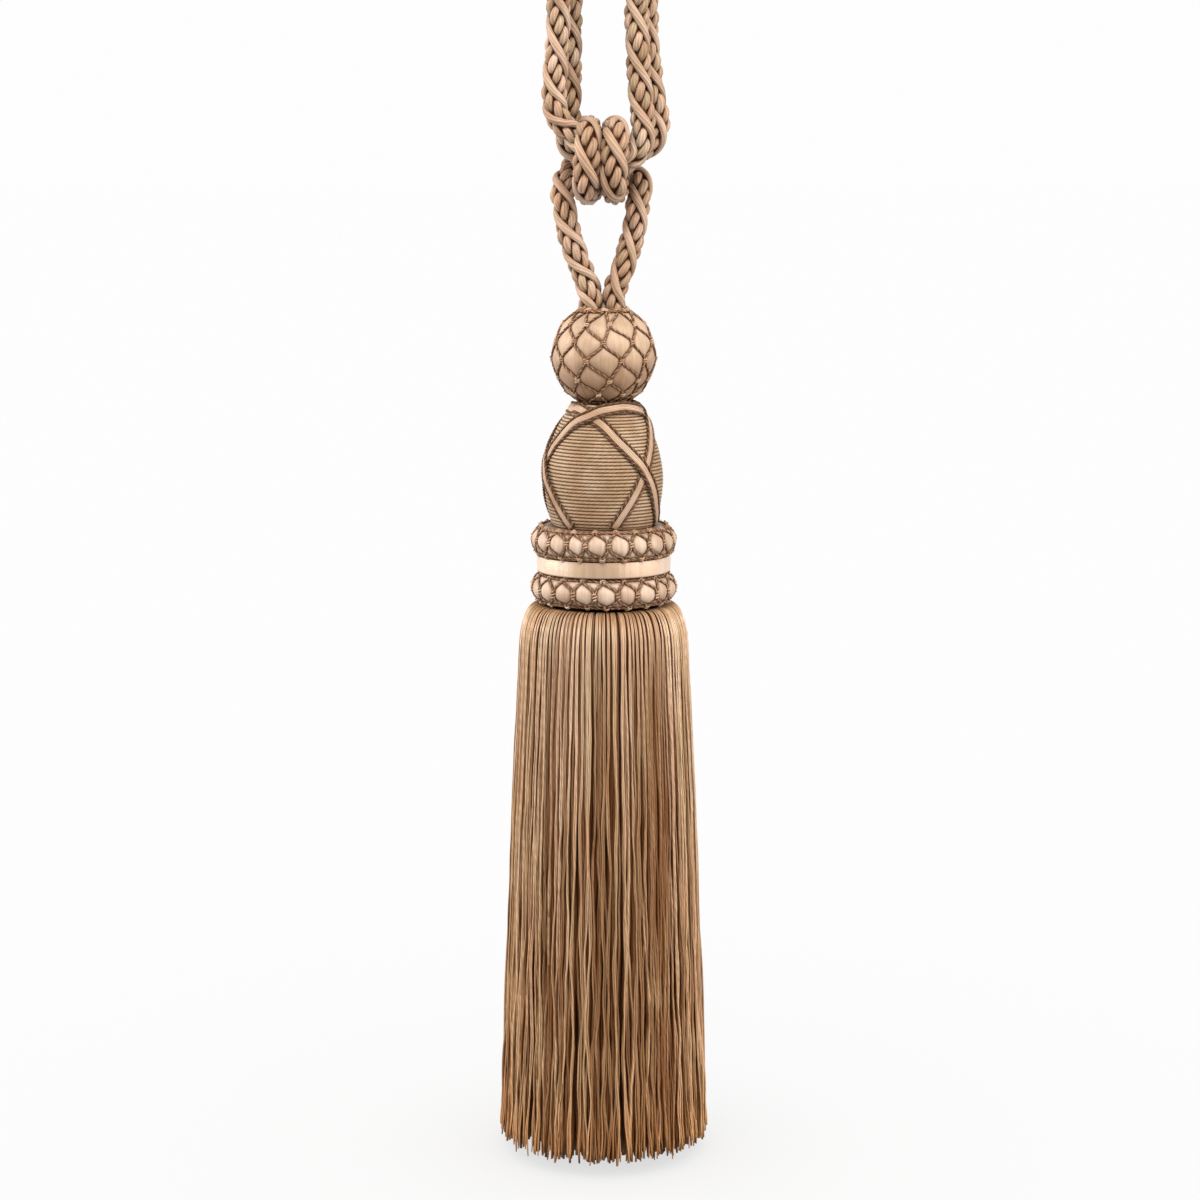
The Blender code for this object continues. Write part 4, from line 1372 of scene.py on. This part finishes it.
    def frames(self, paths, column, at):
        """Directions across the strands: round the skirt, and out of it."""
        across, up = self.normal(at)
        outward = on_circle(across, column, up)
        tangent = unit(np.gradient(paths, axis=-2))
        around_skirt = unit(np.cross(outward, tangent))
        return around_skirt, np.cross(tangent, around_skirt)

    def depth(self, grids, at):
        """How near each point is to the outermost surface, from 0 to 1. Deeper points get painted shade.
        """
        radius = np.interp(at, self.length, self.curve[:, 0])
        height = np.interp(at, self.length, self.curve[:, 2])
        across, up = self.normal(at)
        beyond_radius = np.hypot(grids[..., 0], grids[..., 1]) - radius[:, None]
        beyond_height = (grids[..., 2] - height[:, None]) * (up[:, None] > 0.2)
        out = beyond_radius * across[:, None] + beyond_height * up[:, None]
        return np.clip(1 - (SKIRT_PLY - out) / 1.6, 0, 1)

    def normal(self, at):
        """Which way the outside faces at these lengths: away from the axis, and up."""
        radius = np.interp(at, self.length, self.curve[:, 0])
        height = np.interp(at, self.length, self.curve[:, 2])
        slope = unit(np.gradient(np.stack((radius, height), axis=1), axis=0))
        return -slope[:, 1], slope[:, 0]

    def strays(self, piece):
        """Loose strands that part from the others and end on their own."""
        for degrees, parts, away, end in STRAY_STRANDS:
            heights = np.linspace(parts + 40, end, 36)
            base = np.interp(-heights, -self.curve[:, 2], self.curve[:, 0])
            share = np.clip((parts + 20 - heights) / (parts + 20 - end), 0, 1)
            bulge = np.sin(math.pi * share * 1.3) * 0.6 + share**2
            radii = base - 1.0 + (1.0 + away) * bulge
            column = degrees + 1.5 * np.sin(heights / 9)
            path = on_circle(radii, column, heights)
            thickness = np.full(36, SKIRT_STRAND * 0.62)
            grid = rings_on(path, frames_along(path), thickness, thickness, 6)
            # Stray strands get a little painted shade.
            piece.add(grid, lengths_along(path), self.chance.uniform(0.2, 0.8), 0.85)


def skirt(material):
    """Layers of cut yarn, from the visible outside to the middle."""
    made = Skirt()
    for name, layers in SKIRT_LAYERS.items():
        piece = Piece()
        for layer in layers:
            made.layer(piece, *layer)
        if name == "skirt_outer_yarn":
            made.strays(piece)
        piece.finish(name, material, "skirt_yarn", "skirt")


# --- studio -----------------------------------------------------------------------


def camera():
    """The photograph's view."""
    scene = bpy.context.scene
    data = bpy.data.cameras.new("camera")
    data.sensor_width = SENSOR
    data.lens = FOCAL_PIXELS / PHOTO_SIZE * SENSOR
    data.clip_start, data.clip_end = 0.05, 100.0
    made = bpy.data.objects.new("camera", data)
    pitch = math.atan((PHOTO_SIZE / 2 - HORIZON_PIXEL) / FOCAL_PIXELS)
    across = (PHOTO_SIZE / 2 - AXIS_PIXEL) * EYE_DISTANCE / math.cos(pitch) / FOCAL_PIXELS
    made.location = Vector((across, -EYE_DISTANCE, EYE_HEIGHT)) * MM
    made.rotation_euler = (math.pi / 2 - pitch, 0, 0)
    scene.collection.objects.link(made)
    scene.camera = made


def softbox(name, azimuth, elevation, distance, width, height, power, colour):
    """One large soft light that looks at the tassel's middle, and not at the floor."""
    data = bpy.data.lights.new(name, "AREA")
    data.shape = "RECTANGLE"
    data.size, data.size_y = width, height
    data.energy = power
    data.color = colour
    made = bpy.data.objects.new(name, data)
    level = distance * math.cos(math.radians(elevation))
    rise = distance * math.sin(math.radians(elevation))
    aim = Vector((0, 0, LIGHT_AIM * MM))
    turn = math.radians(azimuth)
    made.location = aim + Vector((level * math.sin(turn), -level * math.cos(turn), rise))
    made.rotation_euler = (aim - made.location).to_track_quat("-Z", "Y").to_euler()
    bpy.context.scene.collection.objects.link(made)
    return made


def pale_floor():
    """A wide matt floor just under the yarn."""
    material = bpy.data.materials.new("pale_floor")
    material.use_nodes = True
    shader = material.node_tree.nodes["Principled BSDF"]
    shader.inputs["Base Color"].default_value = (0.32, 0.32, 0.32, 1)
    shader.inputs["Emission Color"].default_value = (1, 1, 1, 1)
    shader.inputs["Emission Strength"].default_value = 0.67
    shader.inputs["Roughness"].default_value = 1.0
    shader.inputs["Specular IOR Level"].default_value = 0.0
    mesh = bpy.data.meshes.new("floor")
    reach, z = FLOOR_REACH, FLOOR_HEIGHT * MM
    corners = [(-reach, -reach, z), (reach, -reach, z), (reach, reach, z), (-reach, reach, z)]
    mesh.from_pydata(corners, [], [(0, 1, 2, 3)])
    mesh.materials.append(material)
    floor = bpy.data.objects.new("floor", mesh)
    bpy.context.scene.collection.objects.link(floor)
    return floor


def pale_sky():
    """An even white light from everywhere."""
    world = bpy.data.worlds.new("sky")
    bpy.context.scene.world = world
    world.use_nodes = True
    background = world.node_tree.nodes["Background"]
    background.inputs["Color"].default_value = (1, 1, 1, 1)
    background.inputs["Strength"].default_value = SKY_STRENGTH


def studio():
    """A pale floor under a pale sky, and soft lights that leave the floor alone."""
    view = bpy.context.scene.view_settings
    view.view_transform = "Standard"
    view.look = "None"
    floor = pale_floor()
    pale_sky()
    unlit = bpy.data.collections.new("unlit_by_softboxes")
    unlit.objects.link(floor)
    unlit.collection_objects[0].light_linking.link_state = "EXCLUDE"
    for light in SOFTBOXES:
        softbox(*light).light_linking.receiver_collection = unlit


def netted_pieces(thread, satins):
    """The ball and both rings, each with its net."""
    ball = (0.0, BALL_HEIGHT, BALL_RADIUS)
    net = Net(
        ball, BALL_NET_ANGLES, BALL_NET_COLUMNS, 5, BALL_THREAD, BALL_LIFT, BALL_LINKS,
        BALL_BESIDE, BALL_RIM, 0.0, shifts=BALL_SHIFTS,
    )
    net.weave("ball_thread_net", thread, "ball_net")
    satin_ball(satins["satin"], net)
    rings = (
        ("upper", UPPER_RING, UPPER_NET_ANGLES, UPPER_RING_LINKS, UPPER_ROW_SHIFTS, 6),
        ("lower", LOWER_RING, LOWER_NET_ANGLES, LOWER_RING_LINKS, LOWER_ROW_SHIFTS, 7),
    )
    for place, ring, angles, links, shifts, seed in rings:
        net = Net(
            ring, angles, RING_NET_COLUMNS, seed, RING_THREAD, RING_LIFT, links,
            RING_BESIDE, RING_RIM, RING_ROUNDING, row_shifts=shifts,
        )
        net.weave(f"{place}_thread_net", thread, f"{place}_ring_net")
        satin_ring(f"{place}_satin_ring", satins["ring_satin"], net, f"{place}_ring")


def straps(material):
    """Three sets of two straps."""
    for i, (turn, tightness) in enumerate(zip(STRAP_TURNS, STRAP_TIGHTNESS)):
        for lean, course, seed in (("right", RIGHT_STRAP_PATH, 30), ("left", LEFT_STRAP_PATH, 40)):
            name, node_name = f"{lean}_strap_braid_{i + 1}", f"{lean}_strap_{i + 1}"
            strap(name, course, turn, tightness, material, node_name, seed + i)


def main():
    """Everything that the picture shows."""
    camera()
    yarns = {name: yarn(name, **looks) for name, looks in YARNS.items()}
    satins = {name: satin(name, **looks) for name, looks in SATINS.items()}
    cord = yarns["twisted_cord"]
    rope("embrace_cord", embrace_route(), EMBRACE_LAY, EMBRACE_GIMPS, cord, "embrace_rope", 3)
    rope("tassel_cord", tassel_route(), TASSEL_LAY, TASSEL_GIMPS, cord, "tassel_rope", 4)
    netted_pieces(yarns["net_thread"], satins)
    satin_band(satins["band_satin"])
    winding(yarns["wound_cord"])
    straps(yarns["strap_gimp"])
    skirt(yarns["skirt_yarn"])
    studio()


main()
